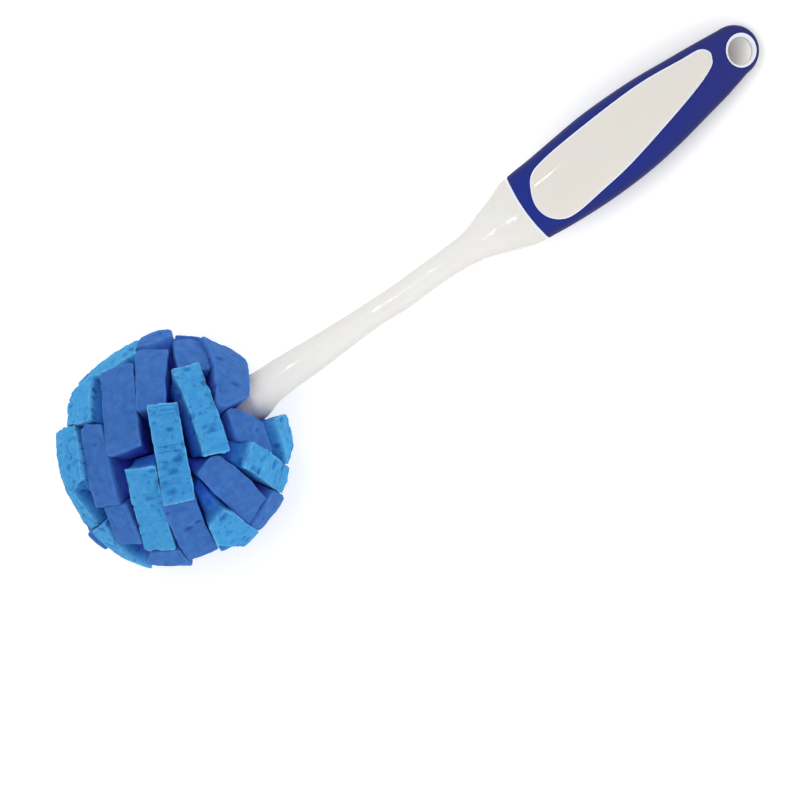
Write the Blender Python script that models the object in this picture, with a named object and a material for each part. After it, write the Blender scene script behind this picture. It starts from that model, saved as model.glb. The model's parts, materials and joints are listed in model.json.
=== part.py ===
"""A dish brush: a ball of sponge strips on a white handle with a navy grip.

The handle core ends in a loop. The sponge strips pass through that loop side by side, are
pinched there, and spread on both sides of it into a ball. The navy grip shell is moulded over
the far end of the core, and leaves the teardrop panel and the hanging eye's collar open.
Sizes are in metres. X runs from the ball to the tail, Y across the handle, Z up out of the panel.
"""

import math

import bmesh
import bpy
import numpy as np
from mathutils import Matrix, Vector

for old in list(bpy.data.objects):
    bpy.data.objects.remove(old, do_unlink=True)

MM = 0.001
GAP = 0.3 * MM

# Ball of sponge strips
BALL_RADIUS = 41.5 * MM
STRIP_WIDTH = 34.0 * MM
STRIP_THICKNESS = 11.0 * MM
CREVICE = 1.0 * MM
LOOP_CREVICE = 0.25 * MM
CUT_EDGE = 0.8 * MM
STRIP_CLEAR_DEPTH = 3.5 * MM
STRIP_PRESSED_DEPTH = 9.0 * MM
SPREAD_STEP = 0.7 * MM
POINT_SPACING = 11.5 * MM
SEAM_WANDER = 3.5 * MM
SAG_DEPTH = 1.0 * MM

# Loop, neck and foot of the handle core, inside the ball
LOOP_RADIUS = 13.7 * MM
LOOP_WIRE_RADIUS = 1.7 * MM
NECK_RADIUS = 2.6 * MM
FOOT_RADIUS = 8.3 * MM
FOOT_PLACE = 33.0 * MM
FOOT_LENGTH = 12.0 * MM
FOOT_CLEARANCE = 0.6 * MM
NOTCH_RISE = math.radians(31.0)

# Handle, measured from the ball's centre
TAIL_PLACE = 250.0 * MM
STEM_RADIUS = 5.9 * MM
GRIP_HALF_WIDTH = 15.2 * MM
GRIP_HALF_DEPTH = 9.5 * MM
SWAY = 2.3 * MM
TAIL_ROUNDING = 9.5 * MM

# Grip shell, panel and hanging eye
SHELL_WALL = 1.8 * MM
PARTING_PLACE = 149.0 * MM
PARTING_RADIUS = 60.0 * MM
PANEL_RAISE = 0.4 * MM
PANEL_ROUNDING = 0.7 * MM
EYE_SETBACK = 7.2 * MM
EYE_ASIDE = 1.0 * MM
EYE_HALF_LENGTH = 4.5 * MM
EYE_HALF_WIDTH = 3.8 * MM
COLLAR_WALL = 1.6 * MM
COLLAR_RAISE = 0.3 * MM
EYE_TURN = math.radians(55.0)

# Counts
HANDLE_SIDES = 24
TAIL_STEPS = 7
PANEL_POINTS = 56
COLLAR_POINTS = 28
SPREAD_ROUNDS = 5
LOOP_SEGMENTS = 36
LOOP_SIDES = 10
PARTING_POINTS = 33
TILT_ROUNDS = 40
SHARP_ANGLE = math.radians(35.0)

# One row a strip, what lies on top first: the place of the face's centre along X and Y, the
# heading of its long side in degrees from X, its length and thickness, the heights of its
# front and back faces, how far the face bends with the ball, and its sponge.
strip_shares = (
    (-0.02, -0.01, 65, 1.07, 1.00, 0.96, 0.95, 0.3, "light"),
    (0.44, 0.15, 74, 1.05, 0.95, 0.95, 0.93, 0.3, "light"),
    (-0.16, 0.60, 64, 1.04, 1.25, 0.94, 0.95, 0.5, "dark"),
    (-0.476, -0.327, 69, 1.06, 1.05, 0.92, 0.94, 0.4, "light"),
    (0.61, -0.61, 104, 0.93, 0.92, 0.98, 0.95, 0.5, "light"),
    (0.27, -0.61, 100, 1.05, 1.10, 0.94, 0.95, 0.6, "dark"),
    (0.71, -0.245, 72, 0.82, 1.40, 0.91, 0.94, 0.6, "dark"),
    (-0.62, 0.27, 56, 0.95, 1.10, 0.95, 0.93, 0.6, "dark"),
    (0.21, 0.66, 60, 0.90, 1.20, 0.95, 0.96, 0.7, "dark"),
    (-0.26, -0.68, 82, 0.95, 1.10, 0.96, 0.93, 0.7, "dark"),
    (0.86, 0.31, 64, 0.90, 1.05, 0.99, 0.96, 0.8, "dark"),
    (0.65, 0.51, 72, 1.05, 1.05, 0.97, 0.99, 0.8, "dark"),
    (0.05, -0.87, 115, 0.80, 1.30, 1.01, 0.98, 0.8, "light"),
    (-0.42, 0.79, 59, 0.62, 1.20, 1.00, 0.97, 0.8, "light"),
    (-0.80, 0.52, 60, 0.75, 1.05, 1.02, 0.99, 0.8, "light"),
    (-0.94, 0.17, 60, 0.80, 1.05, 0.96, 0.98, 0.8, "light"),
    (-0.75, -0.27, 78, 0.60, 0.95, 0.95, 0.97, 0.8, "dark"),
    (-0.84, -0.49, 100, 1.05, 0.95, 0.99, 0.98, 0.8, "light"),
    (-0.95, -0.17, 80, 0.60, 0.80, 0.98, 1.01, 0.8, "dark"),
    (-0.50, -0.83, 163, 0.80, 1.15, 1.02, 0.99, 0.8, "dark"),
    (-0.02, 0.94, 5, 0.80, 1.05, 0.97, 0.99, 0.8, "light"),
    (0.37, 0.88, 30, 0.65, 0.95, 1.01, 0.98, 0.8, "dark"),
    (0.88, -0.42, 60, 0.80, 1.10, 1.01, 0.98, 0.8, "light"),
    (0.42, -0.87, 163, 0.70, 1.15, 1.00, 0.97, 0.8, "dark"),
)
# Distances of a strip's cross-sections from the loop, outward
section_shares = (0.0, 0.10, 0.18, 0.26, 0.34, 0.43, 0.55)
# Where the pinch ends, and where the strips run straight out from the centre
pinch_end_share = 0.40
bend_start_share = 0.07
bend_end_share = 0.55
seam_power_share = 4
# How much of the crevice between two cones must be there to count them as apart
apart_share = 0.99

# Neck and foot: how thick the neck leaves the loop, and the foot's places and radii
neck_start_share = 0.9
foot_shares = ((-0.25, 0.93), (0.0, 1.0), (0.25, 0.93), (0.6, 0.80))

# Stem and grip: place along the handle, half width, half depth and sideways place
stem_shares = (
    (0.000, 1.03, 1.03, -0.30),
    (0.072, 0.99, 0.99, -0.35),
    (0.131, 0.88, 0.88, -0.41),
    (0.208, 0.80, 0.80, -0.50),
    (0.252, 0.83, 0.83, -0.68),
    (0.296, 0.82, 0.82, -0.55),
    (0.354, 0.86, 0.86, -0.52),
)
grip_shares = (
    (0.383, 0.359, 0.59, -0.62),
    (0.413, 0.439, 0.64, -0.65),
    (0.442, 0.577, 0.72, -0.68),
    (0.471, 0.705, 0.82, -0.76),
    (0.498, 0.827, 0.90, -0.68),
    (0.519, 0.859, 0.93, -0.66),
    (0.558, 0.904, 0.97, -0.72),
    (0.617, 0.965, 1.00, -0.62),
    (0.675, 1.000, 1.00, -0.40),
    (0.733, 0.984, 0.98, -0.21),
    (0.791, 0.923, 0.93, 0.06),
    (0.849, 0.818, 0.84, 0.32),
    (0.908, 0.706, 0.72, 0.60),
    (0.955, 0.598, 0.58, 0.89),
)
grip_squareness_share = 0.4
squaring_start_share = 0.67
grip_start_share = 0.75
tail_sway_share = 0.1
parting_aside_share = -0.66

# Teardrop panel: place along the grip from the parting line to the tail, and across its width
panel_shares = (
    (0.038, -0.17),
    (0.055, 0.20),
    (0.089, 0.48),
    (0.148, 0.60),
    (0.258, 0.68),
    (0.466, 0.76),
    (0.604, 0.76),
    (0.742, 0.67),
    (0.812, 0.62),
    (0.839, 0.45),
    (0.834, 0.28),
    (0.812, 0.12),
    (0.742, -0.07),
    (0.604, -0.32),
    (0.396, -0.64),
    (0.258, -0.77),
    (0.148, -0.85),
    (0.089, -0.78),
    (0.049, -0.52),
)
# The panel's rings, from its rim inward, and the last ring before its middle
panel_ring_shares = (0.75, 0.5, 0.25)


def unit(v):
    """Scale a direction to length one."""
    return v / np.linalg.norm(v)


def ramp(t):
    """Rise smoothly from 0 to 1 as t does."""
    t = min(max(t, 0.0), 1.0)
    return t * t * (3.0 - 2.0 * t)


def face_cone(x, y, heading, long_share, thin_share, height):
    """Corner directions of a strip's cut face, anticlockwise from outside."""
    centre = unit(np.array([x, y, math.sqrt(1.0 - x * x - y * y)]))
    along_x = unit(np.array([1.0, 0.0, 0.0]) - centre[0] * centre)
    turned = Matrix.Rotation(math.radians(heading), 3, Vector(centre))
    long_way = np.array(turned @ Vector(along_x))
    thin_way = np.cross(centre, long_way)
    far = long_share * STRIP_WIDTH / 2.0
    near = thin_share * STRIP_THICKNESS / 2.0
    corners = ((-1, -1), (1, -1), (1, 1), (-1, 1))
    return np.array([unit(centre * height + long_way * i * far + thin_way * j * near)
                     for i, j in corners])


def clip(cone, normal, least=0.0):
    """Keep the part of a cone that lies at least that far beyond a plane through the centre."""
    kept = []
    for a, b in zip(cone, np.roll(cone, -1, 0)):
        at_a = a @ normal - least
        at_b = b @ normal - least
        if at_a >= 0.0:
            kept.append(a)
        if at_a * at_b < 0.0:
            kept.append(unit(a + (b - a) * at_a / (at_a - at_b)))
    corners = [p for p, q in zip(kept, kept[1:] + kept[:1]) if np.linalg.norm(p - q) > GAP / BALL_RADIUS]
    return np.array(corners)


def walls(cone):
    """Outward normals of a cone's side planes."""
    return [unit(np.cross(b, a)) for a, b in zip(cone, np.roll(cone, -1, 0))]


def size_of(cone):
    """The solid angle of a cone, nearly."""
    if len(cone) < 3:
        return 0.0
    middle = cone.mean(0)
    pairs = zip(cone, np.roll(cone, -1, 0))
    return sum(np.linalg.norm(np.cross(a - middle, b - middle)) for a, b in pairs) / 2.0


def clear_walls(cone, other):
    """The side planes of a cone that keep a crevice to its neighbour."""
    least = CREVICE / BALL_RADIUS * apart_share
    return [wall for wall in walls(cone) if (other @ wall).min() >= least]


def apart(cone, other):
    """Whether a side of either cone keeps a crevice between them."""
    return bool(clear_walls(cone, other) or clear_walls(other, cone))


def yielded(cone, other):
    """Draw a cone back behind whichever side of its neighbour costs it least."""
    if len(cone) < 3 or apart(cone, other):
        return cone
    return max((clip(cone, wall, CREVICE / BALL_RADIUS) for wall in walls(other)), key=size_of)


def spread_beside(wider, cone, other):
    """Keep a widened cone clear of a neighbour without giving up any of the first cone."""
    if apart(wider, other):
        return wider
    ways = [clip(wider, wall, CREVICE / BALL_RADIUS) for wall in clear_walls(other, cone)]
    ways += [clip(wider, -wall) for wall in clear_walls(cone, other)]
    return max(ways, key=size_of, default=cone)


def widened(cone, angle):
    """Move each side of a cone outward by an angle."""
    middle = unit(cone.mean(0))
    across = unit(np.cross(middle, cone[0]))
    onward = np.cross(middle, across)
    turned = ((-1, -1), (1, -1), (1, 1), (-1, 1))
    wide = np.array([unit(middle + across * i + onward * j) for i, j in turned])
    for a, b in zip(cone, np.roll(cone, -1, 0)):
        tilted = unit(np.cross(b, a)) * math.cos(angle) - unit(a + b) * math.sin(angle)
        wide = clip(wide, -tilted)
    return wide


def foot_cone():
    """The cone round the handle's foot, taller than wide, so that the foot shows past the strips."""
    aside = math.tan(math.asin((FOOT_RADIUS + FOOT_CLEARANCE) / FOOT_PLACE))
    upward = math.tan(NOTCH_RISE)
    turns = np.arange(0.0, math.tau, math.tau / 12.0)
    return np.array([unit([1.0, aside * math.cos(t), upward * math.sin(t)]) for t in turns])


def strip_cones():
    """The cut face's cone and the wider pressed cone of every strip."""
    above_seam = np.array([0.0, 0.0, 1.0])
    foot = foot_cone()
    faces = []
    for x, y, heading, long_share, thin_share, front, _, _, _ in strip_shares:
        cone = face_cone(x, y, heading, long_share, thin_share, front * BALL_RADIUS)
        cone = clip(cone, above_seam, CREVICE / 2.0 / BALL_RADIUS)
        for other in [foot] + faces:
            cone = yielded(cone, other)
        faces.append(cone)
    pressed = list(faces)
    for _ in range(SPREAD_ROUNDS):
        for i, cone in enumerate(pressed):
            wider = widened(cone, SPREAD_STEP / BALL_RADIUS)
            wider = clip(wider, above_seam, CREVICE / 2.0 / BALL_RADIUS)
            for other in [foot] + pressed[:i] + pressed[i + 1:]:
                wider = spread_beside(wider, cone, other)
            pressed[i] = wider
    return faces, pressed


def side_points(cone):
    """Directions round a cone's rim, its corners among them."""
    points = []
    for a, b in zip(cone, np.roll(cone, -1, 0)):
        steps = math.ceil(np.linalg.norm(b - a) * BALL_RADIUS / POINT_SPACING)
        points += [unit(a + (b - a) * i / steps) for i in range(steps)]
    return np.array(points)


def pushed_out(directions, middle, cone):
    """Move directions away from a middle until they reach a cone's side."""
    reached = []
    for d in directions:
        away = d - middle
        steps = [-(middle @ wall) / (away @ wall) for wall in walls(cone) if away @ wall > 0.0]
        reached.append(unit(middle + away * min(steps)))
    return np.array(reached)


def drawn_toward(middle, directions, angles):
    """Move directions toward a middle by small angles."""
    moved = []
    for d, angle in zip(directions, angles):
        away = d - middle
        moved.append(unit(middle + away * (1.0 - angle / np.linalg.norm(away))))
    return np.array(moved)


def through_loop(direction, distance):
    """Carry a direction out from the loop: pinched in its hole, straight out at the ball's skin.

    Distances above zero run to the front of the ball and those below zero to its back.
    """
    reach = abs(distance)
    held = 1.0 - (LOOP_WIRE_RADIUS + GAP) / LOOP_RADIUS
    pinch = held + (1.0 - held) * ramp(reach / (pinch_end_share * BALL_RADIUS))
    straight = ramp((reach / BALL_RADIUS - bend_start_share) / (bend_end_share - bend_start_share))
    flat = direction[:2] * pinch
    rise = math.sqrt(max(0.0, 1.0 - flat @ flat))
    flat = flat * (1.0 + rise) ** ((straight - 1.0) / 2.0)
    sideways = flat * ((1.0 - straight) * math.hypot(reach, LOOP_RADIUS) + straight * reach)
    up = distance * rise
    out = np.linalg.norm(sideways)
    turn = math.atan2(sideways[1], sideways[0])
    far = (out / BALL_RADIUS) ** seam_power_share
    up += SEAM_WANDER * far * math.sin(3.0 * turn) * (1.0 - math.cos(turn)) / 2.0
    return np.array([sideways[0], sideways[1], up])


def strip_half(row, face, pressed, height, side):
    """The cross-sections of a strip from the loop to one cut face, and the face's middle."""
    x, y, bend = row[0], row[1], row[7]
    middle = unit(face.mean(0))
    normal = unit(np.array([x, y, math.sqrt(1.0 - x * x - y * y)]))
    rim = side_points(face)
    wide = pushed_out(rim, middle, pressed)
    skin = height * BALL_RADIUS * ((1.0 - bend) / (rim @ normal) + bend)
    held = drawn_toward(middle, wide, np.full(len(wide), LOOP_CREVICE / LOOP_RADIUS))
    inset = drawn_toward(middle, rim, CUT_EDGE / skin)
    sections = [[through_loop(d, side * share * BALL_RADIUS) for d in held]
                for share in section_shares]
    outer = ((wide, STRIP_PRESSED_DEPTH), (rim, STRIP_CLEAR_DEPTH), (rim, CUT_EDGE), (inset, 0.0))
    for ring, depth in outer:
        sections.append([through_loop(d, side * (r - depth)) for d, r in zip(ring, skin)])
    crown = height * BALL_RADIUS * ((1.0 - bend) / (middle @ normal) + bend)
    return sections, through_loop(middle, side * crown)


def on_workbench(name, mesh):
    """An object for a mesh, kept with the tools until it is finished."""
    made = bpy.data.objects.new(name, mesh)
    made.hide_render = True
    made.display_type = "WIRE"
    workbench.objects.link(made)
    return made


def loft(name, sections, start=None, end=None):
    """Join closed sections into one solid, with flat ends or with a middle point at each end."""
    mesh = bpy.data.meshes.new(name)
    bm = bmesh.new()
    rings = [[bm.verts.new(p) for p in section] for section in sections]
    for low, high in zip(rings, rings[1:]):
        for i, corner in enumerate(low):
            bm.faces.new((low[i - 1], corner, high[i], high[i - 1]))
    for ring, tip in ((rings[0][::-1], start), (rings[-1], end)):
        if tip is None:
            bm.faces.new(ring)
        else:
            point = bm.verts.new(tip)
            for i, corner in enumerate(ring):
                bm.faces.new((ring[i - 1], corner, point))
    bmesh.ops.recalc_face_normals(bm, faces=bm.faces)
    bm.to_mesh(mesh)
    bm.free()
    return on_workbench(name, mesh)


def material(name, colour, roughness):
    """A plain material with the part's colour as red, green and blue from 0 to 1."""
    made = bpy.data.materials.new(name)
    made.use_nodes = True
    shader = made.node_tree.nodes["Principled BSDF"]
    shader.inputs["Base Color"].default_value = (*colour, 1.0)
    shader.inputs["Roughness"].default_value = roughness
    shader.inputs["Metallic"].default_value = 0.0
    made.diffuse_color = (*colour, 1.0)
    return made


def combined(target, tool, operation):
    """Apply one exact Boolean to the target, then drop the tool's object."""
    step = target.modifiers.new(operation, "BOOLEAN")
    step.operation = operation
    step.solver = "EXACT"
    step.object = tool
    bpy.context.view_layer.update()
    shape = bpy.data.meshes.new_from_object(target.evaluated_get(bpy.context.evaluated_depsgraph_get()))
    target.modifiers.remove(step)
    target.data = shape
    bpy.data.objects.remove(tool, do_unlink=True)
    return target


def smooth_row(table, place):
    """Read a table of rows at a place along it, on a smooth curve through the rows."""
    rows = np.array(table)
    at = rows[:, 0]
    slopes = np.gradient(rows[:, 1:], at, axis=0)
    i = int(np.clip(np.searchsorted(at, place) - 1, 0, len(at) - 2))
    span = at[i + 1] - at[i]
    t = (place - at[i]) / span
    low = rows[i, 1:] * (1.0 + 2.0 * t) * (1.0 - t) ** 2 + slopes[i] * span * t * (1.0 - t) ** 2
    high = rows[i + 1, 1:] * t * t * (3.0 - 2.0 * t) + slopes[i + 1] * span * t * t * (t - 1.0)
    return low + high


def handle_rows():
    """Places along the handle in metres, with half width, half depth and sideways place."""
    start = FOOT_PLACE + FOOT_LENGTH
    span = TAIL_PLACE - start
    rows = [
        (LOOP_RADIUS, LOOP_WIRE_RADIUS * neck_start_share, LOOP_WIRE_RADIUS * neck_start_share, 0.0),
        (LOOP_RADIUS + LOOP_WIRE_RADIUS, NECK_RADIUS, NECK_RADIUS, 0.0),
    ]
    for place, radius in foot_shares:
        rows.append((FOOT_PLACE + FOOT_LENGTH * place, FOOT_RADIUS * radius, FOOT_RADIUS * radius, 0.0))
    for place, wide, deep, aside in stem_shares:
        rows.append((start + span * place, STEM_RADIUS * wide, STEM_RADIUS * deep, SWAY * aside))
    for place, wide, deep, aside in grip_shares:
        rows.append((start + span * place, GRIP_HALF_WIDTH * wide, GRIP_HALF_DEPTH * deep, SWAY * aside))
    rows[-1] = (TAIL_PLACE - TAIL_ROUNDING,) + rows[-1][1:]
    return rows


def handle_at(rows, place):
    """Half width, half depth and sideways place of the handle there, its tail rounded off."""
    wide, deep, aside = smooth_row(rows, min(place, rows[-1][0]))
    past = max(0.0, place - rows[-1][0]) / TAIL_ROUNDING
    rounding = math.sqrt(max(0.0, 1.0 - past * past))
    return wide * rounding, deep * rounding, aside + SWAY * past * tail_sway_share


def squareness(place):
    """The section's exponent: 2 on the round stem, more on the grip."""
    past = (place / PARTING_PLACE - squaring_start_share) / (1.0 - squaring_start_share)
    return 2.0 + grip_squareness_share * ramp(past)


def handle_section(rows, place):
    """A closed section of the handle at that place."""
    wide, deep, aside = handle_at(rows, place)
    power = 2.0 / squareness(place)
    ring = []
    for turn in np.arange(HANDLE_SIDES) * math.tau / HANDLE_SIDES:
        across = math.copysign(abs(math.cos(turn)) ** power, math.cos(turn))
        up = math.copysign(abs(math.sin(turn)) ** power, math.sin(turn))
        ring.append((place, aside + wide * across, deep * up))
    return ring


def handle_body(name, rows, first):
    """The handle's full outer form from one place to the rounded tail."""
    places = [row[0] for row in rows if row[0] >= first]
    halves = [(a + b) / 2.0 for a, b in zip(places, places[1:])]
    turns = [math.sin(math.pi / 2.0 * i / TAIL_STEPS) for i in range(1, TAIL_STEPS)]
    tail = [rows[-1][0] + TAIL_ROUNDING * t for t in turns]
    stations = sorted(places + halves) + tail
    return loft(name, [handle_section(rows, s) for s in stations], end=(TAIL_PLACE, SWAY, 0.0))


def drawn_in(body, distance):
    """Move every point of a body inward along its normal."""
    bm = bmesh.new()
    bm.from_mesh(body.data)
    bm.normal_update()
    shifts = [(v, v.normal * -distance) for v in bm.verts]
    for v, shift in shifts:
        v.co += shift
    bm.to_mesh(body.data)
    bm.free()
    return body


def top_height(rows, place, across):
    """The height of the handle's upper surface over a point."""
    wide, deep, aside = handle_at(rows, place)
    power = squareness(place)
    share = min(abs(across - aside) / wide, 1.0)
    return deep * (1.0 - share ** power) ** (1.0 / power)


def panel_outline(rows, grown):
    """The teardrop's outline, smoothed through its points and grown by a margin."""
    corners = []
    for along, across in panel_shares:
        place = PARTING_PLACE + (TAIL_PLACE - PARTING_PLACE) * along
        corners.append(np.array([place, across * GRIP_HALF_WIDTH]))
    count = len(corners)
    points = []
    for i in range(PANEL_POINTS):
        k, t = divmod(i * count / PANEL_POINTS, 1.0)
        a, b, c, d = (corners[(int(k) + j) % count] for j in (-1, 0, 1, 2))
        points.append(0.5 * (2.0 * b + (c - a) * t + (2.0 * a - 5.0 * b + 4.0 * c - d) * t ** 2
                             + (3.0 * b - a - 3.0 * c + d) * t ** 3))
    points = np.array(points)
    ahead = np.roll(points, -1, 0) - np.roll(points, 1, 0)
    ahead /= np.linalg.norm(ahead, axis=1)[:, None]
    return points + np.column_stack((-ahead[:, 1], ahead[:, 0])) * grown


def eye_outline(grown):
    """The hanging eye's oval, grown by a margin."""
    middle = Vector((TAIL_PLACE - EYE_SETBACK, EYE_ASIDE))
    turn = Matrix.Rotation(EYE_TURN, 2)
    ring = []
    for t in np.arange(COLLAR_POINTS) * math.tau / COLLAR_POINTS:
        oval = Vector(((EYE_HALF_LENGTH + grown) * math.cos(t), (EYE_HALF_WIDTH + grown) * math.sin(t)))
        ring.append(middle + turn @ oval)
    return ring


def prism(name, outline, low, high):
    """An upright prism over a flat outline."""
    return loft(name, [[(x, y, z) for x, y in outline] for z in (low, high)])


def cut_through(name, outline):
    """A prism over a flat outline that reaches past both faces of the grip."""
    reach = GRIP_HALF_DEPTH + GRIP_HALF_DEPTH
    return prism(name, outline, -reach, reach)


def beyond_parting(radius):
    """A block over the grip from the parting line to past the tail, its head end round."""
    centre = PARTING_PLACE + PARTING_RADIUS
    aside = SWAY * parting_aside_share
    half_turn = math.asin(min(1.0, (GRIP_HALF_WIDTH + GRIP_HALF_WIDTH) / radius))
    turns = np.linspace(-half_turn, half_turn, PARTING_POINTS)
    arc = [(centre - radius * math.cos(t), aside + radius * math.sin(t)) for t in turns]
    end = TAIL_PLACE + GRIP_HALF_WIDTH
    return cut_through("parting", arc + [(end, arc[-1][1]), (end, arc[0][1])])


def panel_boss(rows):
    """The raised teardrop panel, its top following the grip with a rounded rim."""
    outer = panel_outline(rows, -GAP)
    middle = outer.mean(0)
    inner = panel_outline(rows, -GAP - PANEL_ROUNDING)
    edge = [(x, y, top_height(rows, x, y) + PANEL_RAISE - PANEL_ROUNDING) for x, y in outer]
    foot = [(x, y, 0.0) for x, y in outer]
    rings = [foot, edge]
    for ring in [inner] + [middle + (inner - middle) * share for share in panel_ring_shares]:
        rings.append([(x, y, top_height(rows, x, y) + PANEL_RAISE) for x, y in ring])
    return loft("panel", rings, end=(*middle, top_height(rows, *middle) + PANEL_RAISE))


def eye_collar(rows):
    """The tube round the hanging eye, flush with both faces of the grip."""
    outer = eye_outline(COLLAR_WALL)
    rim = eye_outline(COLLAR_WALL - CUT_EDGE / 2.0)
    tops = [top_height(rows, x, y) for x, y in outer]
    low = [(x, y, -t) for (x, y), t in zip(outer, tops)]
    high = [(x, y, t) for (x, y), t in zip(outer, tops)]
    under = [(x, y, -t - COLLAR_RAISE) for (x, y), t in zip(rim, tops)]
    over = [(x, y, t + COLLAR_RAISE) for (x, y), t in zip(rim, tops)]
    return loft("collar", [under, low, high, over])


def handle_core(rows):
    """The white core: loop, neck, foot, stem, grip core, panel and collar in one piece."""
    bpy.ops.mesh.primitive_torus_add(
        major_radius=LOOP_RADIUS, minor_radius=LOOP_WIRE_RADIUS,
        major_segments=LOOP_SEGMENTS, minor_segments=LOOP_SIDES)
    core = bpy.context.object
    core.name = "handle_core"
    neck = handle_body("neck", rows, 0.0)
    neck = combined(neck, beyond_parting(PARTING_RADIUS + GAP), "DIFFERENCE")
    core = combined(core, neck, "UNION")
    inside = drawn_in(handle_body("grip_core", rows, PARTING_PLACE * grip_start_share), SHELL_WALL + GAP)
    core = combined(core, inside, "UNION")
    core = combined(core, panel_boss(rows), "UNION")
    core = combined(core, eye_collar(rows), "UNION")
    return combined(core, cut_through("eye", eye_outline(0.0)), "DIFFERENCE")


def grip_shell(rows):
    """The navy shell over the grip core, open round the panel and the eye."""
    shell = handle_body("grip_shell", rows, PARTING_PLACE * grip_start_share)
    shell = combined(shell, beyond_parting(PARTING_RADIUS), "INTERSECT")
    hollow = drawn_in(handle_body("hollow", rows, PARTING_PLACE * grip_start_share), SHELL_WALL)
    shell = combined(shell, hollow, "DIFFERENCE")
    window = prism("window", panel_outline(rows, 0.0), 0.0, GRIP_HALF_DEPTH + GRIP_HALF_DEPTH)
    shell = combined(shell, window, "DIFFERENCE")
    return combined(shell, cut_through("eye", eye_outline(COLLAR_WALL + GAP)), "DIFFERENCE")


def sponge_strip(number, row, face, pressed):
    """One strip, from its back face through the loop to its front face."""
    front, front_middle = strip_half(row, face, pressed, row[5], 1.0)
    back, back_middle = strip_half(row, face, pressed, row[6], -1.0)
    return loft(f"sponge_strip_{number:02d}", back[:0:-1] + front, start=back_middle, end=front_middle)


def points_of(objects):
    """All the mesh points of some objects."""
    return np.array([v.co for o in objects for v in o.data.vertices])


def rest_tilt(soft, hard):
    """The tilt that brings the ball, sunk by its sag, level with the tail."""
    low = 0.0
    high = math.radians(30.0)
    for _ in range(TILT_ROUNDS):
        tilt = (low + high) / 2.0
        up = np.array([-math.sin(tilt), 0.0, math.cos(tilt)])
        if (soft @ up).min() + SAG_DEPTH < (hard @ up).min():
            low = tilt
        else:
            high = tilt
    return tilt


def lay_down(strips, hard):
    """Rest the brush on the floor, panel up, on its ball and tail, and flatten the ball's sag."""
    tilt = rest_tilt(points_of(strips), points_of(hard))
    up = Vector((-math.sin(tilt), 0.0, math.cos(tilt)))
    floor = min(v.co.dot(up) for o in hard for v in o.data.vertices)
    for strip in strips:
        for v in strip.data.vertices:
            v.co += up * max(0.0, floor - v.co.dot(up))
    pose = bpy.data.objects.new("brush_at_rest", None)
    bpy.context.scene.collection.objects.link(pose)
    turn = Matrix.Rotation(tilt, 3, "Y")
    laid = points_of(strips + hard) @ np.array(turn).T
    middle = (laid.min(0) + laid.max(0)) / 2.0
    pose.rotation_euler = turn.to_euler()
    pose.location = (-middle[0], -middle[1], -laid[:, 2].min())
    for piece in strips + hard:
        piece.parent = pose


def finish(piece, look):
    """Give a piece its material and smooth shading, and put it with the brush."""
    piece.data.materials.clear()
    piece.data.materials.append(look)
    piece.data.shade_smooth()
    piece.data.set_sharp_from_angle(angle=SHARP_ANGLE)
    for home in list(piece.users_collection):
        home.objects.unlink(piece)
    piece.hide_render = False
    piece.display_type = "TEXTURED"
    brush.objects.link(piece)


workbench = bpy.data.collections.new("workbench")
brush = bpy.data.collections.new("dish_brush")
bpy.context.scene.collection.children.link(workbench)
bpy.context.scene.collection.children.link(brush)

white = material("white_polypropylene", (0.82, 0.81, 0.79), 0.35)
navy = material("navy_rubber", (0.022, 0.035, 0.235), 0.5)
sponges = {
    "light": material("light_blue_sponge", (0.056, 0.315, 0.65), 0.9),
    "dark": material("dark_blue_sponge", (0.052, 0.168, 0.48), 0.9),
}

rows = handle_rows()
core = handle_core(rows)
shell = grip_shell(rows)
finish(core, white)
finish(shell, navy)
strips = []
for row, face, pressed in zip(strip_shares, *strip_cones()):
    strip = sponge_strip(len(strips) + 1, row, face, pressed)
    finish(strip, sponges[row[8]])
    strips.append(strip)
lay_down(strips, [core, shell])
print(f"{len(strips)} sponge strips, {len(brush.objects)} pieces")
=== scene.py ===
# %% [markdown]
# This notebook dresses a dish brush: a ball of soft sponge strips on a slim white handle with
# a navy soft-touch grip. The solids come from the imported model, and everything here takes their
# place, at the same positions and in metres.

import json
import math

import bmesh
import bpy
import numpy as np
from mathutils import Matrix, Vector


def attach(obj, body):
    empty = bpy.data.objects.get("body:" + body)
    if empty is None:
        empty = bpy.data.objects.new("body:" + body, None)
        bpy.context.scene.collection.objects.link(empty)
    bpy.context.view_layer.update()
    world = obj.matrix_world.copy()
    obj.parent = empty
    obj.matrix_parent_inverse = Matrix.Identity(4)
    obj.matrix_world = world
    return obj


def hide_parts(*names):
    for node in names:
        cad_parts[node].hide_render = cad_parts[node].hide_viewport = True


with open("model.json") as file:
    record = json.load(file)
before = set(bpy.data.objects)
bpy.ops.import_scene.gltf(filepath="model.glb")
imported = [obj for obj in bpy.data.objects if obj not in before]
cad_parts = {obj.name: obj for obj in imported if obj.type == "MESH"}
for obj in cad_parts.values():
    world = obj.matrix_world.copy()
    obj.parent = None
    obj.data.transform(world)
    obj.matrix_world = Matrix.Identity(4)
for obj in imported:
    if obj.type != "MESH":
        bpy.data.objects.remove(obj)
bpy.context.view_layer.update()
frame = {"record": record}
MM = 0.001

# %% [markdown]
# The brush lies on its ball and its tail, so its own axes are tilted from the world's. The
# hanging eye's mount says how: its axis points straight out of the panel. With the eye's known
# place along the handle, that gives the ball's centre and three axes: along, across and up.

# %% The brush's own axes
EYE_PLACE = np.array([242.8, 1.0, 0.0]) * MM

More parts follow.
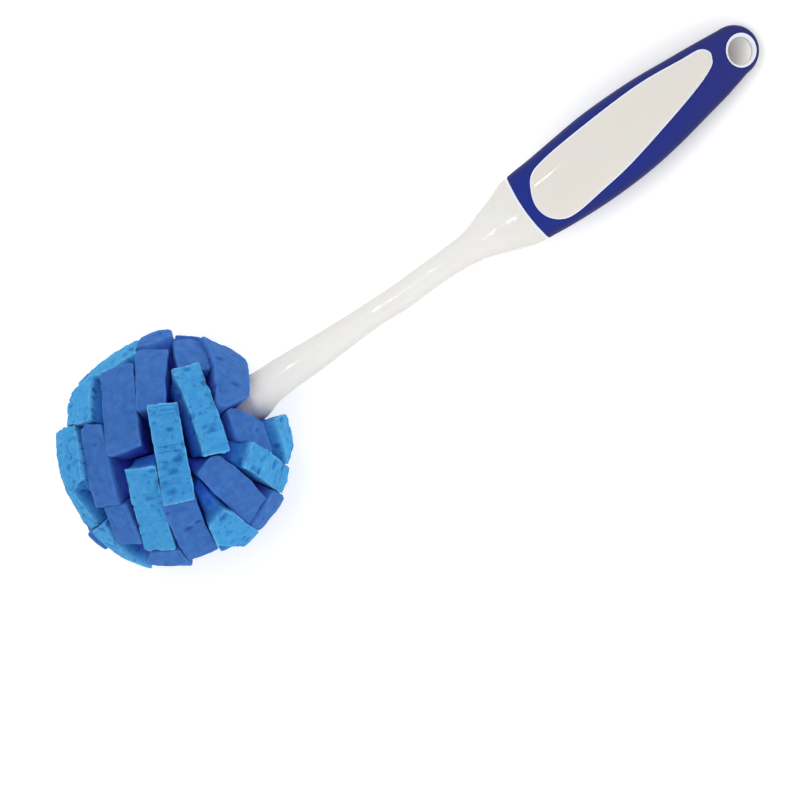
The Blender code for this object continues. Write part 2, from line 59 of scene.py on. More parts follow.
eye_mount = next(m for m in frame["record"]["mounts"] if m["name"] == "hanging_eye")
out_of_panel = np.array(eye_mount["axis"]) / np.linalg.norm(eye_mount["axis"])
along_handle = np.array([out_of_panel[2], 0.0, -out_of_panel[0]])
axes = np.column_stack((along_handle, (0.0, 1.0, 0.0), out_of_panel))
ball_centre = np.array(eye_mount["pos_m"]) - axes @ EYE_PLACE


def to_world(points):
    """Brush places to world places: the three axes times the place, plus the ball's centre."""
    return np.asarray(points) @ axes.T + ball_centre


tilt = math.degrees(math.asin(out_of_panel[0]))
print("ball centre in metres:", ball_centre.round(4), "tilt in degrees:", round(tilt, 2))

# %% [markdown]
# The photograph looks straight down on the panel, with the handle rising to the upper right
# at 35 degrees. One pixel of it is 0.35 mm at the brush, and the ball's centre shows at a known
# pixel. That places a long lens camera without any fitting.

# %% Camera
PHOTO_PIXELS = 800.0
PIXEL = 0.35 * MM
BALL_PIXEL = (173.2, 450.6)
HANDLE_RISE = math.radians(35.0)
CAMERA_DISTANCE = 5.0
SENSOR = 36.0

camera_right = np.array([math.cos(HANDLE_RISE), -math.sin(HANDLE_RISE), 0.0])
camera_up = np.array([math.sin(HANDLE_RISE), math.cos(HANDLE_RISE), 0.0])
seen_middle = (camera_right * (PHOTO_PIXELS / 2 - BALL_PIXEL[0])
               - camera_up * (PHOTO_PIXELS / 2 - BALL_PIXEL[1])) * PIXEL
camera_place = to_world(seen_middle + np.array([0.0, 0.0, CAMERA_DISTANCE]))

camera = bpy.data.objects.new("camera", bpy.data.cameras.new("camera"))
camera.data.sensor_width = SENSOR
camera.data.lens = SENSOR * CAMERA_DISTANCE / (PHOTO_PIXELS * PIXEL)
stance = np.eye(4)
stance[:3, 0] = axes @ camera_right
stance[:3, 1] = axes @ camera_up
stance[:3, 2] = out_of_panel
stance[:3, 3] = camera_place
camera.matrix_world = Matrix(stance)
bpy.context.scene.collection.objects.link(camera)
bpy.context.scene.camera = camera
print("lens:", round(camera.data.lens, 1), "mm")

# %% [markdown]
# Colours are written as the hex values that a picture shows and turned to the linear light
# that a shader works in. Every material is built from nodes with one small helper.

# %% Colour and node helpers


def linear(hex_colour):
    """A hex colour's red, green and blue as linear light: the sRGB curve undone, with alpha 1."""
    parts = np.array([int(hex_colour[i:i + 2], 16) for i in (1, 3, 5)]) / 255.0
    low = parts / 12.92
    high = ((parts + 0.055) / 1.055) ** 2.4
    return (*np.where(parts <= 0.04045, low, high), 1.0)


def add_node(tree, kind, inputs=(), **settings):
    """Add a node, give it its settings, and fill its inputs with values or links."""
    node = tree.nodes.new(kind)
    for name, value in settings.items():
        setattr(node, name, value)
    for name, value in dict(inputs).items():
        if isinstance(value, bpy.types.NodeSocket):
            tree.links.new(value, node.inputs[name])
        else:
            node.inputs[name].default_value = value
    return node


def new_material(name, **values):
    """A material with one Principled shader whose sockets hold the given plain values."""
    made = bpy.data.materials.new(name)
    made.use_nodes = True
    shader = made.node_tree.nodes["Principled BSDF"]
    for socket, value in values.items():
        shader.inputs[socket.replace("_", " ").title().replace("Ior", "IOR")].default_value = value
    return made, made.node_tree, shader


def per_mm(size_in_mm):
    """The texture scale at which one cell of a pattern is that many millimetres."""
    return 1.0 / (size_in_mm * MM)


# %% [markdown]
# A product picture is lit by large soft boxes, so shadows are faint and colours come out as
# they are written. The key light hangs over the ball's side of the picture, and a wider box
# opposite fills in. The photograph shows only two small glints, one on the panel and one on
# the neck, so the boxes aren't mirrored, and each glint has a small lamp of its own.

# %% Lamps
# Sizes and places in metres, places in the brush's own axes, powers in watts.
KEY_SIZE = 0.5
KEY_POWER = 2.85
KEY_PLACE = seen_middle + camera_up * 0.1 - camera_right * 0.22 + (0.0, 0.0, 0.9)
FILL_SIZE = 0.8
FILL_POWER = 2.0
FILL_PLACE = seen_middle + camera_right * 0.5 - camera_up * 0.7 + (0.0, 0.0, 0.7)
GLINT_SIZE = 0.02
PANEL_GLINT_POWER = 0.18
PANEL_GLINT_PLACE = (0.095, 0.325, 0.84)
NECK_GLINT_POWER = 0.06
NECK_GLINT_PLACE = (-0.091, -0.002, 0.84)


def soft_box(name, place, size, power, mirrored):
    """A square lamp at a brush place, turned to the middle of the picture, seen in gloss or not."""
    lamp = bpy.data.lights.new(name, "AREA")
    lamp.size = size
    lamp.energy = power
    box = bpy.data.objects.new(name, lamp)
    spot = to_world(place)
    aim = to_world(seen_middle) - spot
    box.visible_glossy = mirrored
    box.location = spot
    box.rotation_euler = Vector(aim).to_track_quat("-Z", "Y").to_euler()
    bpy.context.scene.collection.objects.link(box)


soft_box("key_light", KEY_PLACE, KEY_SIZE, KEY_POWER, mirrored=False)
soft_box("panel_glint_light", PANEL_GLINT_PLACE, GLINT_SIZE, PANEL_GLINT_POWER, mirrored=True)
soft_box("neck_glint_light", NECK_GLINT_PLACE, GLINT_SIZE, NECK_GLINT_POWER, mirrored=True)
soft_box("fill_light", FILL_PLACE, FILL_SIZE, FILL_POWER, mirrored=False)
print("lamps:", [light.name for light in bpy.data.lights])

# %% [markdown]
# The world stands for the white walls of the studio. It is bright at the horizon and dark
# overhead, so it lights the sides of the ball and the grip, and looks plain white where it is
# seen. The floor is white paper. Seen directly it glows up to white, but the glow dims where
# anything stands within a few millimetres of it, a painted shade that deepens the object's shadow.

# %% World and floor
# Strengths of the light from the horizon and from overhead.
HORIZON_LIGHT = 1.95
ZENITH_LIGHT = 0.0

# The paper's size, its glow, and how near a thing has to be to dim that glow.
FLOOR_SIZE = 6.0
FLOOR_GLOW = 0.35
FLOOR_HOLLOW = 12.0 * MM


def seen_by(tree, *rays):
    """1 for the named kinds of ray and 0 for all others: the largest of their flags."""
    path = add_node(tree, "ShaderNodeLightPath")
    seen = path.outputs[rays[0]]
    for ray in rays[1:]:
        larger = add_node(tree, "ShaderNodeMath", {0: seen, 1: path.outputs[ray]}, operation="MAXIMUM")
        seen = larger.outputs[0]
    return seen


world = bpy.data.worlds.new("studio")
world.use_nodes = True
bpy.context.scene.world = world
tree = world.node_tree
background = tree.nodes["Background"]
background.inputs["Color"].default_value = linear("#ffffff")
seen = seen_by(tree, "Is Camera Ray", "Is Glossy Ray", "Is Transmission Ray")
direction = add_node(tree, "ShaderNodeTexCoord").outputs["Generated"]
rise = add_node(tree, "ShaderNodeSeparateXYZ", {"Vector": direction}).outputs["Z"]
light = add_node(tree, "ShaderNodeMapRange",
                 {"Value": rise, "To Min": HORIZON_LIGHT, "To Max": ZENITH_LIGHT})
strength = add_node(tree, "ShaderNodeMapRange", {"Value": seen, "To Min": light.outputs[0], "To Max": 1.0})
tree.links.new(strength.outputs[0], background.inputs["Strength"])

floor_mesh = bpy.data.meshes.new("floor")
half = FLOOR_SIZE / 2
floor_corners = [(-half, -half, 0), (half, -half, 0), (half, half, 0), (-half, half, 0)]
floor_mesh.from_pydata(floor_corners, [], [(0, 1, 2, 3)])
floor = bpy.data.objects.new("floor", floor_mesh)
bpy.context.scene.collection.objects.link(floor)
paper, tree, shader = new_material("white_studio_paper", roughness=0.9)
shader.inputs["Base Color"].default_value = linear("#f4f4f4")
shader.inputs["Emission Color"].default_value = linear("#ffffff")
seen = seen_by(tree, "Is Camera Ray", "Is Glossy Ray")
# Where anything stands near, ambient occlusion dims the glow: a painted shade on the floor.
open_floor = add_node(tree, "ShaderNodeAmbientOcclusion", {"Distance": FLOOR_HOLLOW})
glow = add_node(tree, "ShaderNodeMath", {0: open_floor.outputs["AO"], 1: FLOOR_GLOW}, operation="MULTIPLY")
glow = add_node(tree, "ShaderNodeMath", {0: seen, 1: glow.outputs[0]}, operation="MULTIPLY")
tree.links.new(glow.outputs[0], shader.inputs["Emission Strength"])
floor.data.materials.append(paper)
print("floor:", FLOOR_SIZE, "m wide")

# %% [markdown]
# The ball is made of cut sponge slabs. They pass side by side through a loop at the handle's
# end, where they are pinched, and spread out on both sides. Seen from the ball's centre, each
# slab end is a cone over its cut face. The faces are laid in order of what lies on top: a later
# cone gives way to an earlier one. This is nearly the layout of the solids, with a few strips
# moved by millimetres to where the photograph has them.

# %% Sizes of the ball and its strips
BALL_RADIUS = 41.5 * MM
STRIP_WIDTH = 34.0 * MM
STRIP_THICKNESS = 11.0 * MM
LOOP_RADIUS = 13.7 * MM
LOOP_WIRE_RADIUS = 1.7 * MM

# Room between two strips, and between other pieces.
CREVICE = 0.15 * MM
GAP = 0.3 * MM

# One row a strip: place of the face's middle along and across, heading of its long side in
# degrees, length, thickness, front and back heights, bend with the ball, and its foam. Places
# and heights are shares of the ball's radius, length and thickness are shares of a strip's.
strip_rows = (
    (-0.02, -0.01, 65, 1.07, 1.00, 0.96, 0.95, 0.3, "light"),
    (0.44, 0.15, 74, 1.05, 0.95, 0.95, 0.93, 0.3, "light"),
    (-0.16, 0.60, 64, 1.04, 1.25, 0.94, 0.95, 0.5, "dark"),
    (-0.476, -0.327, 69, 1.06, 1.05, 0.92, 0.94, 0.4, "light"),
    (0.61, -0.61, 104, 0.93, 0.92, 0.98, 0.95, 0.5, "light"),
    (0.27, -0.61, 100, 1.05, 1.10, 0.94, 0.95, 0.6, "dark"),
    (0.712, -0.275, 64, 0.62, 1.60, 0.91, 0.94, 0.6, "dark"),
    (-0.62, 0.27, 56, 0.95, 1.10, 0.95, 0.93, 0.6, "dark"),
    (0.21, 0.66, 60, 0.90, 1.20, 0.95, 0.96, 0.7, "dark"),
    (-0.26, -0.68, 82, 0.95, 1.10, 0.96, 0.93, 0.7, "dark"),
    (0.845, 0.25, 64, 1.20, 1.70, 0.98, 0.96, 0.8, "dark"),
    (0.62, 0.54, 72, 1.05, 1.05, 0.93, 0.99, 0.8, "dark"),
    (0.05, -0.87, 115, 0.80, 1.30, 1.01, 0.98, 0.8, "light"),
    (-0.42, 0.79, 59, 0.62, 1.20, 1.00, 0.97, 0.8, "light"),
    (-0.745, 0.51, 60, 0.80, 1.65, 0.99, 0.99, 0.8, "light"),
    (-0.94, 0.17, 60, 0.80, 1.05, 0.96, 0.98, 0.8, "light"),
    (-0.75, -0.27, 78, 0.60, 0.95, 0.95, 0.97, 0.8, "dark"),
    (-0.89, -0.37, 112, 1.20, 1.05, 0.99, 0.98, 0.8, "light"),
    (-0.95, -0.17, 80, 0.60, 0.80, 0.98, 1.01, 0.8, "dark"),
    (-0.43, -0.82, 155, 0.80, 1.35, 0.99, 0.99, 0.8, "dark"),
    (-0.02, 0.94, 5, 0.80, 1.05, 0.97, 0.99, 0.8, "light"),
    (0.37, 0.88, 30, 0.65, 0.95, 1.01, 0.98, 0.8, "dark"),
    (0.883, -0.39, 60, 0.68, 1.10, 1.01, 0.98, 0.8, "light"),
    (0.42, -0.87, 163, 0.70, 1.15, 1.00, 0.97, 0.8, "dark"),
)
print("strip rows:", len(strip_rows))

# %% [markdown]
# A cone is kept as the directions of its corners, in order, seen from the ball's centre. Each
# side of it is then a plane through that centre, so one cone is cut by another's side with a
# few dot products, and two strips can share a cut without any solid geometry.

# %% Cones over the cut faces


def unit(v):
    """Directions scaled to length one: each divided by its length."""
    v = np.asarray(v, float)
    return v / np.linalg.norm(v, axis=-1, keepdims=True)


def ramp(t):
    """Smooth rise from 0 to 1: t squared times three minus two t."""
    t = np.clip(t, 0.0, 1.0)
    return t * t * (3.0 - 2.0 * t)


def face_axes(x, y, heading):
    """Axes of a strip that touches the ball at a place: along its face, across it, and outward."""
    outward = unit([x, y, math.sqrt(1.0 - x * x - y * y)])
    ahead = unit(np.array([1.0, 0.0, 0.0]) - outward[0] * outward)
    turn = math.radians(heading)
    long_way = ahead * math.cos(turn) + np.cross(outward, ahead) * math.sin(turn)
    return long_way, np.cross(outward, long_way), outward


def face_cone(row):
    """Corner directions of a strip's cut face: its middle plus or minus half its length and thickness."""
    long_share, thin_share, front = row[3:6]
    long_way, thin_way, outward = face_axes(*row[:3])
    signs = np.array([(-1, -1), (1, -1), (1, 1), (-1, 1)])
    far = signs[:, :1] * long_share * STRIP_WIDTH / 2.0
    near = signs[:, 1:] * thin_share * STRIP_THICKNESS / 2.0
    return unit(outward * (front * BALL_RADIUS) + long_way * far + thin_way * near)


def clip(cone, normal, least=0.0):
    """The part of a cone at least that far beyond a plane through the centre, without its tiny sides."""
    kept = []
    for a, b in zip(cone, np.roll(cone, -1, 0)):
        at_a = a @ normal - least
        at_b = b @ normal - least
        if at_a >= 0.0:
            kept.append(a)
        if at_a * at_b < 0.0:
            kept.append(unit(a + (b - a) * at_a / (at_a - at_b)))
    return np.array([p for p, q in zip(kept, kept[1:] + kept[:1])
                     if np.linalg.norm(p - q) > GAP / BALL_RADIUS])


def walls(cone):
    """Outward normals of a cone's side planes: each corner crossed with the one before it."""
    return [unit(np.cross(b, a)) for a, b in zip(cone, np.roll(cone, -1, 0))]


def size_of(cone):
    """A cone's solid angle, nearly: the triangles from its middle to its sides, summed."""
    if len(cone) < 3:
        return 0.0
    spokes = cone - cone.mean(0)
    return np.linalg.norm(np.cross(spokes, np.roll(spokes, -1, 0)), axis=1).sum() / 2.0


# %% [markdown]
# Slabs of foam that are pressed together give way until they meet. Here an upper strip keeps
# its whole cut face and the ones under it are cut off at its side. Below the faces there is
# room left over, so the cones then widen a little at a time, round after round, until each
# one meets its neighbours and the ball is packed as tightly as the real one.

# %% How the cones make room for each other
# The share of a crevice that counts as a whole one, so that rounding errors don't matter.
ROUNDING_ROOM = 0.99


def clear_walls(cone, other):
    """The side planes of a cone that have all of a neighbour a crevice or more beyond them."""
    least = CREVICE / BALL_RADIUS * ROUNDING_ROOM
    return [wall for wall in walls(cone) if (other @ wall).min() >= least]


def apart(cone, other):
    """Whether a side of either cone keeps a crevice between them."""
    return bool(clear_walls(cone, other) or clear_walls(other, cone))


def yielded(cone, other):
    """Draw a cone back behind whichever side of its neighbour costs it least."""
    if len(cone) < 3 or apart(cone, other):
        return cone
    return max((clip(cone, wall, CREVICE / BALL_RADIUS) for wall in walls(other)), key=size_of)


def spread_beside(wider, cone, other):
    """Keep a widened cone clear of a neighbour without giving up any of the first cone."""
    if apart(wider, other):
        return wider
    ways = [clip(wider, wall, CREVICE / BALL_RADIUS) for wall in clear_walls(other, cone)]
    ways += [clip(wider, -wall) for wall in clear_walls(cone, other)]
    return max(ways, key=size_of, default=cone)


def widened(cone, angle):
    """A cone with each side plane tilted outward by an angle, cut from a wide square cone."""
    middle = unit(cone.mean(0))
    across = unit(np.cross(middle, cone[0]))
    onward = np.cross(middle, across)
    wide = np.array([unit(middle + across * i + onward * j)
                     for i, j in ((-1, -1), (1, -1), (1, 1), (-1, 1))])
    for a, b in zip(cone, np.roll(cone, -1, 0)):
        wide = clip(wide, unit(a + b) * math.sin(angle) - unit(np.cross(b, a)) * math.cos(angle))
    return wide


# %% [markdown]
# The stem's foot comes out of the ball through a notch between strips. Its edge shows in the
# photograph as three short straight lines, which are the sides of neighbouring strips, so the
# notch is one more cone that all strips give way to.

# %% All the cones
# How far a side moves in one round of widening, and the number of rounds.
SPREAD_STEP = 0.7 * MM
SPREAD_ROUNDS = 18

# The notch's upper corners, as slopes aside and upward from the ball's centre.
NOTCH_SLOPES = ((0.19, 0.30), (-0.11, 0.88), (-0.30, 0.56))


def foot_cone():
    """Directions round the handle's foot: the notch's corners above the seam, and the same below it."""
    upper = np.array(NOTCH_SLOPES)
    corners = np.concatenate((upper[:1] * (1, -1), upper, upper[:0:-1] * (1, -1)))
    return unit(np.column_stack((np.ones(len(corners)), corners)))


def strip_cones():
    """The cut face's cone and the wider pressed cone of every strip."""
    above_seam = np.array([0.0, 0.0, 1.0])
    seam_room = CREVICE / 2.0 / BALL_RADIUS
    foot = foot_cone()
    faces = []
    for row in strip_rows:
        cone = clip(face_cone(row), above_seam, seam_room)
        for other in [foot] + faces:
            cone = yielded(cone, other)
        faces.append(cone)
    pressed = list(faces)
    for _ in range(SPREAD_ROUNDS):
        for i, cone in enumerate(pressed):
            wider = clip(widened(cone, SPREAD_STEP / BALL_RADIUS), above_seam, seam_room)
            for other in [foot] + pressed[:i] + pressed[i + 1:]:
                wider = spread_beside(wider, cone, other)
            pressed[i] = wider
    return faces, pressed


face_cones, pressed_cones = strip_cones()
smallest_face = min(map(size_of, face_cones)) * (BALL_RADIUS / MM) ** 2
print("strips:", len(face_cones), "smallest face:", round(smallest_face), "mm2")

# %% [markdown]
# On the real brush each slab is squeezed in the loop and springs open on both sides. The same
# happens here to places: a direction from the ball's centre and a distance become a place
# that runs straight up through the loop, bends outward, and is on its own ray at the skin.
# The seam between front and back wanders a little, as the ends of soft slabs do.

# %% Out through the loop
# Shares of the ball's radius where the pinch ends, and where the outward bend starts and ends.
PINCH_END = 0.40
BEND_START = 0.07
BEND_END = 0.55

# How far the seam wanders up and down, how many times, and how quickly that fades inward.
SEAM_WANDER = 3.5 * MM
SEAM_WAVES = 3.0
SEAM_POWER = 4


def through_loop(directions, distances):
    """Carry directions out from the loop: pinched in its hole, straight out at the ball's skin.

    A place is the direction's flat part times a spread that goes from the loop's radius to the
    distance itself, with the distance times the rise above it. Distances below zero run to the back.
    """
    reach = np.abs(distances)[..., None]
    held = 1.0 - (LOOP_WIRE_RADIUS + GAP) / LOOP_RADIUS
    pinch = held + (1.0 - held) * ramp(reach / (PINCH_END * BALL_RADIUS))
    straight = ramp((reach / BALL_RADIUS - BEND_START) / (BEND_END - BEND_START))
    flat = directions[..., :2] * pinch
    rise = np.sqrt(np.maximum(0.0, 1.0 - (flat ** 2).sum(-1, keepdims=True)))
    flat = flat * (1.0 + rise) ** ((straight - 1.0) / 2.0)
    sideways = flat * ((1.0 - straight) * np.hypot(reach, LOOP_RADIUS) + straight * reach)
    up = distances[..., None] * rise
    far = (np.linalg.norm(sideways, axis=-1, keepdims=True) / BALL_RADIUS) ** SEAM_POWER
    turn = np.arctan2(sideways[..., 1:], sideways[..., :1])
    up = up + SEAM_WANDER * far * np.sin(SEAM_WAVES * turn) * (1.0 - np.cos(turn)) / 2.0
    return np.concatenate((sideways, up), axis=-1)


# %% [markdown]
# A strip's surface is one closed grid. Its columns run round the strip, and its rows run from
# the middle of the front face over the cut edge, down the sides, through the loop and up to
# the middle of the back face. Three helpers move directions about: evenly round a cone's rim,
# out to a cone's sides, and in toward its middle.

# %% Directions round and inside a cone
COLUMNS = 220

# How far a rim goes out toward its cone's sides, where 1 is all the way.
PUSHED_SHARE = 0.985


def rim_of(cone, middle, rounding):
    """Directions evenly round a cone, its corners rounded by averaging each with its neighbours."""
    corners = cone / (cone @ middle)[:, None]
    closed = np.vstack((corners, corners[:1]))
    at = np.concatenate(([0.0], np.cumsum(np.linalg.norm(np.diff(closed, axis=0), axis=1))))
    places = np.linspace(0.0, at[-1], COLUMNS, endpoint=False)
    points = np.column_stack([np.interp(places, at, closed[:, i]) for i in range(3)])
    reach = max(1, round(rounding / (at[-1] * BALL_RADIUS / COLUMNS)))
    return unit(sum(np.roll(points, i, axis=0) for i in range(-reach, reach + 1)))


def pushed_out(directions, middle, cone):
    """Directions moved away from a middle until they are nearly at a cone's side planes."""
    away = directions - middle
    sides = np.array(walls(cone))
    speed = away @ sides.T
    steps = np.where(speed > 0.0, -(middle @ sides.T) / np.where(speed > 0.0, speed, 1.0), np.inf)
    return unit(middle + away * steps.min(1)[:, None] * PUSHED_SHARE)


def toward(middle, directions, angles):
    """Directions moved toward a middle by small angles."""
    away = directions - middle
    length = np.linalg.norm(away, axis=-1, keepdims=True)
    return unit(middle + away * np.maximum(0.0, 1.0 - np.asarray(angles)[..., None] / length))


def quarter_bends(count):
    """That many even steps over a quarter turn, the last one at its end."""
    return np.arange(1, count + 1) / count * math.pi / 2.0


# %% [markdown]
# The cut face is flat or bends with the ball, as its row says. Its edge is a quarter round of
# under a millimetre, because the blade tears soft foam a little. Below it the side runs
# down in its own cone, so that a dark line shows between strips, and swells to the pressed
# cone a few millimetres further in.

# %% A strip as a grid
# Rows over the face, its edge, the side and the inside. A crowding above 1 puts more side rows
# near the edge.
CAP_ROWS = 34
EDGE_ROWS = 5
SIDE_ROWS = 20
SIDE_CROWDING = 1.2
INNER_ROWS = 14

# Depth at which a strip fills its pressed cone, in general and at the seam, how far above the
# seam that changes, and the share of the depth over which the side stays clear.
PRESSED_DEPTH = 9.0 * MM
SEAM_DEPTH = 3.5 * MM
SEAM_REACH = 0.4
CLEAR_SHARE = 0.35

# In the loop strips are further apart, from a share of the ball's radius inward.
LOOP_CREVICE = 0.25 * MM
HELD_TO = 0.45
HELD_FADE = 0.2


def half_rows(rim, wide, middle, outward, height, bend, edge):
    """One half's directions, distances, depths below the face and middle height, from face to loop.

    The skin's distance is the height over the cosine to the outward axis for a flat face, and
    the height itself for one that bends with the ball, mixed by the row's bend.
    """
    def skin(directions):
        return height * BALL_RADIUS * ((1.0 - bend) / (directions @ outward) + bend)

    # The cut face, from its middle out.
    shares = (np.arange(1, CAP_ROWS + 1) / CAP_ROWS)[:, None, None]
    inset = toward(middle, rim, np.full(COLUMNS, edge / BALL_RADIUS))
    cap = unit(middle + (inset - middle) * shares)
    rows = [cap]
    reaches = [skin(cap)]

    # Its rounded edge.
    face_reach = skin(rim)
    bends = quarter_bends(EDGE_ROWS)
    insets = edge * (1.0 - np.sin(bends)) / BALL_RADIUS
    rows.append(np.array([toward(middle, rim, np.full(COLUMNS, i)) for i in insets]))
    reaches.append(face_reach - (edge * (1.0 - np.cos(bends)))[:, None])

    # The side, first down in the face's own cone and then out to the pressed cone.
    down = ((np.arange(1, SIDE_ROWS + 1) / SIDE_ROWS) ** SIDE_CROWDING)[:, None]
    by_seam = ramp((SEAM_REACH - wide[:, 2]) / SEAM_REACH)
    full_depth = PRESSED_DEPTH + (SEAM_DEPTH - PRESSED_DEPTH) * by_seam
    spread = ramp((down - CLEAR_SHARE) / (1.0 - CLEAR_SHARE))[:, :, None]
    rows.append(unit(rim + (wide - rim) * spread))
    reaches.append(face_reach - edge - (full_depth - edge) * down)

    # The inside, down to the loop.
    inner = (np.arange(1, INNER_ROWS) / INNER_ROWS)[:, None]
    inner_reach = (face_reach - full_depth) * (1.0 - inner)
    held = (1.0 - ramp((inner_reach / BALL_RADIUS - HELD_TO) / HELD_FADE)) * LOOP_CREVICE / LOOP_RADIUS
    rows.append(toward(middle, np.broadcast_to(wide, (INNER_ROWS - 1, COLUMNS, 3)), held))
    reaches.append(inner_reach)

    reaches = np.concatenate(reaches)
    sunk = np.maximum(0.0, face_reach - reaches)
    sunk[:CAP_ROWS] = 0.0
    return np.concatenate(rows), reaches, sunk, skin(middle)


def strip_grid(row, face, pressed, edge, rounding):
    """A whole strip's grid from front face to back face, its two poles, and depths below the faces."""
    front, back, bend = row[5:8]
    middle = unit(face.mean(0))
    outward = face_axes(*row[:3])[2]
    rim = rim_of(face, middle, rounding)
    wide = pushed_out(rim, middle, pressed)
    halves = [half_rows(rim, wide, middle, outward, height, bend, edge) for height in (front, back)]
    (directions, reaches, sunk, crown), (back_directions, back_reaches, back_sunk, back_crown) = halves
    waist = toward(middle, wide, np.full(COLUMNS, LOOP_CREVICE / LOOP_RADIUS))
    grid = np.concatenate((through_loop(directions, reaches),
                           through_loop(waist, np.zeros(COLUMNS))[None],
                           through_loop(back_directions, -back_reaches)[::-1]))
    sunk = np.concatenate((sunk, np.full((1, COLUMNS), BALL_RADIUS), back_sunk[::-1]))
    poles = through_loop(np.array([middle, middle]), np.array([crown, -back_crown]))
    return grid, poles, sunk


def grid_normals(grid):
    """Outward directions at a closed grid's points: its two tangents crossed.

    The tiny number keeps a crossing of zero length from being divided by zero.
    """
    round_way = np.roll(grid, -1, axis=1) - np.roll(grid, 1, axis=1)
    down_way = np.gradient(grid, axis=0)
    return unit(np.cross(down_way, round_way) + 1e-15)


# %% [markdown]
# Every piece becomes a mesh in the same way: whole arrays of points and faces are handed over
# at once. A closed grid gets a fan of triangles at each pole. Each mesh then becomes an object
# that rides on the brush and stands for one of the solids.

# %% Mesh helpers


def grid_faces(rows, columns, wraps=False):
    """Four-sided faces of a grid whose columns close round, and whose rows do too if it wraps."""
    i, j = np.meshgrid(np.arange(rows if wraps else rows - 1), np.arange(columns), indexing="ij")
    row = i * columns
    below = (i + 1) % rows * columns
    onward = (j + 1) % columns
    return np.stack((row + j, below + j, below + onward, row + onward), -1).reshape(-1, 4)


def fan_faces(ring, pole):
    """Triangles from a ring of points to its pole."""
    return np.column_stack((ring, np.roll(ring, -1), np.full(len(ring), pole)))


def closed_grid(grid, poles):
    """Points and faces of a grid that closes round and ends in a pole at each side."""
    rows, columns = grid.shape[:2]
    points = np.concatenate((grid.reshape(-1, 3), poles))
    top = np.arange(columns)
    bottom = top + (rows - 1) * columns
    fans = np.concatenate((fan_faces(top, rows * columns), fan_faces(bottom[::-1], rows * columns + 1)))
    return points, grid_faces(rows, columns), fans


def mesh_of(name, points, *face_groups):
    """A smooth mesh from points and arrays of faces, each array with one number of sides."""
    mesh = bpy.data.meshes.new(name)
    corners = np.concatenate([group.ravel() for group in face_groups])
    totals = np.concatenate([np.full(len(group), group.shape[1]) for group in face_groups])
    starts = np.concatenate(([0], np.cumsum(totals)[:-1]))
    mesh.vertices.add(len(points))
    mesh.vertices.foreach_set("co", np.asarray(points, np.float32).ravel())
    mesh.loops.add(len(corners))
    mesh.loops.foreach_set("vertex_index", corners.astype(np.int32))
    mesh.polygons.add(len(totals))
    mesh.polygons.foreach_set("loop_start", starts.astype(np.int32))
    mesh.polygons.foreach_set("loop_total", totals.astype(np.int32))
    mesh.update(calc_edges=True)
    mesh.shade_smooth()
    return mesh


def keep_values(mesh, name, values):
    """Keep one number for each point of a mesh, for its material to read."""
    kept = mesh.attributes.new(name, "FLOAT", "POINT")
    kept.data.foreach_set("value", np.asarray(values, np.float32))


def kept_piece(mesh, node):
    """An object for a finished mesh, riding on the brush in place of one of its solids."""
    piece = bpy.data.objects.new(mesh.name, mesh)
    bpy.context.scene.collection.objects.link(piece)
    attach(piece, "root")
    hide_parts(node)
    return piece


# %% [markdown]
# Sponge is foam that was cut, so its faces show the bubbles that the blade opened. The light
# blue strips have large, ragged pores, the dark ones are finer and smoother. The pores are cut
# into the mesh, so they hold from close by: seeded bowls on a jittered lattice, with soft noise
# for the swell of the foam.

# %% Noise and pores in numpy


def chance(cells, seed):
    """A fixed pseudo-random number from 0 to 1 for each whole-number cell, its bits mixed by shifts."""
    c = cells.astype(np.uint32)
    h = c[..., 0] * np.uint32(374761393) + c[..., 1] * np.uint32(668265263)
    h = h + c[..., 2] * np.uint32(2147483647) + np.uint32(seed * 1274126177 % 2 ** 32)
    h = (h ^ (h >> np.uint32(13))) * np.uint32(1103515245)
    h = (h ^ (h >> np.uint32(16))) * np.uint32(2654435761)
    return ((h ^ (h >> np.uint32(15))) & np.uint32(0xFFFFFF)) / float(0xFFFFFF)


def soft_noise(points, cell, seed):
    """Value noise from -1 to 1: chances at a lattice's corners, blended smoothly between them."""
    p = points / cell
    base = np.floor(p).astype(np.int64)
    t = ramp(p - base)
    total = np.zeros(p.shape[:-1])
    for corner in np.ndindex(2, 2, 2):
        weight = np.prod(np.where(corner, t, 1.0 - t), axis=-1)
        total += weight * chance(base + corner, seed)
    return total * 2.0 - 1.0


def pores(points, cell, radius, share, seed):
    """Depth from 0 to 1 of bowls on a jittered lattice: one minus the squared share of the bowl's radius.

    Only a share of the lattice's cells has a bowl, and its radius is half to all of the given one.
    """
    p = points / cell
    base = np.floor(p).astype(np.int64)
    depth = np.zeros(p.shape[:-1])
    for step in np.ndindex(3, 3, 3):
        here = base + step - 1
        place = np.stack([chance(here, seed + k) for k in range(3)], -1) + here
        size = radius / cell * (0.5 + 0.5 * chance(here, seed + 3))
        size = np.where(chance(here, seed + 4) < share, size, 1e-6)
        bowl = 1.0 - ((p - place) ** 2).sum(-1) / size ** 2
        depth = np.maximum(depth, bowl)
    return depth


# %% [markdown]
# The two foams differ in scale and not in kind, so one table holds both. The light one has
# craters of up to four millimetres and short creases, the dark one a few shallow dimples. Both
# are stretched across the slab's thickness, the way the block of foam rose.

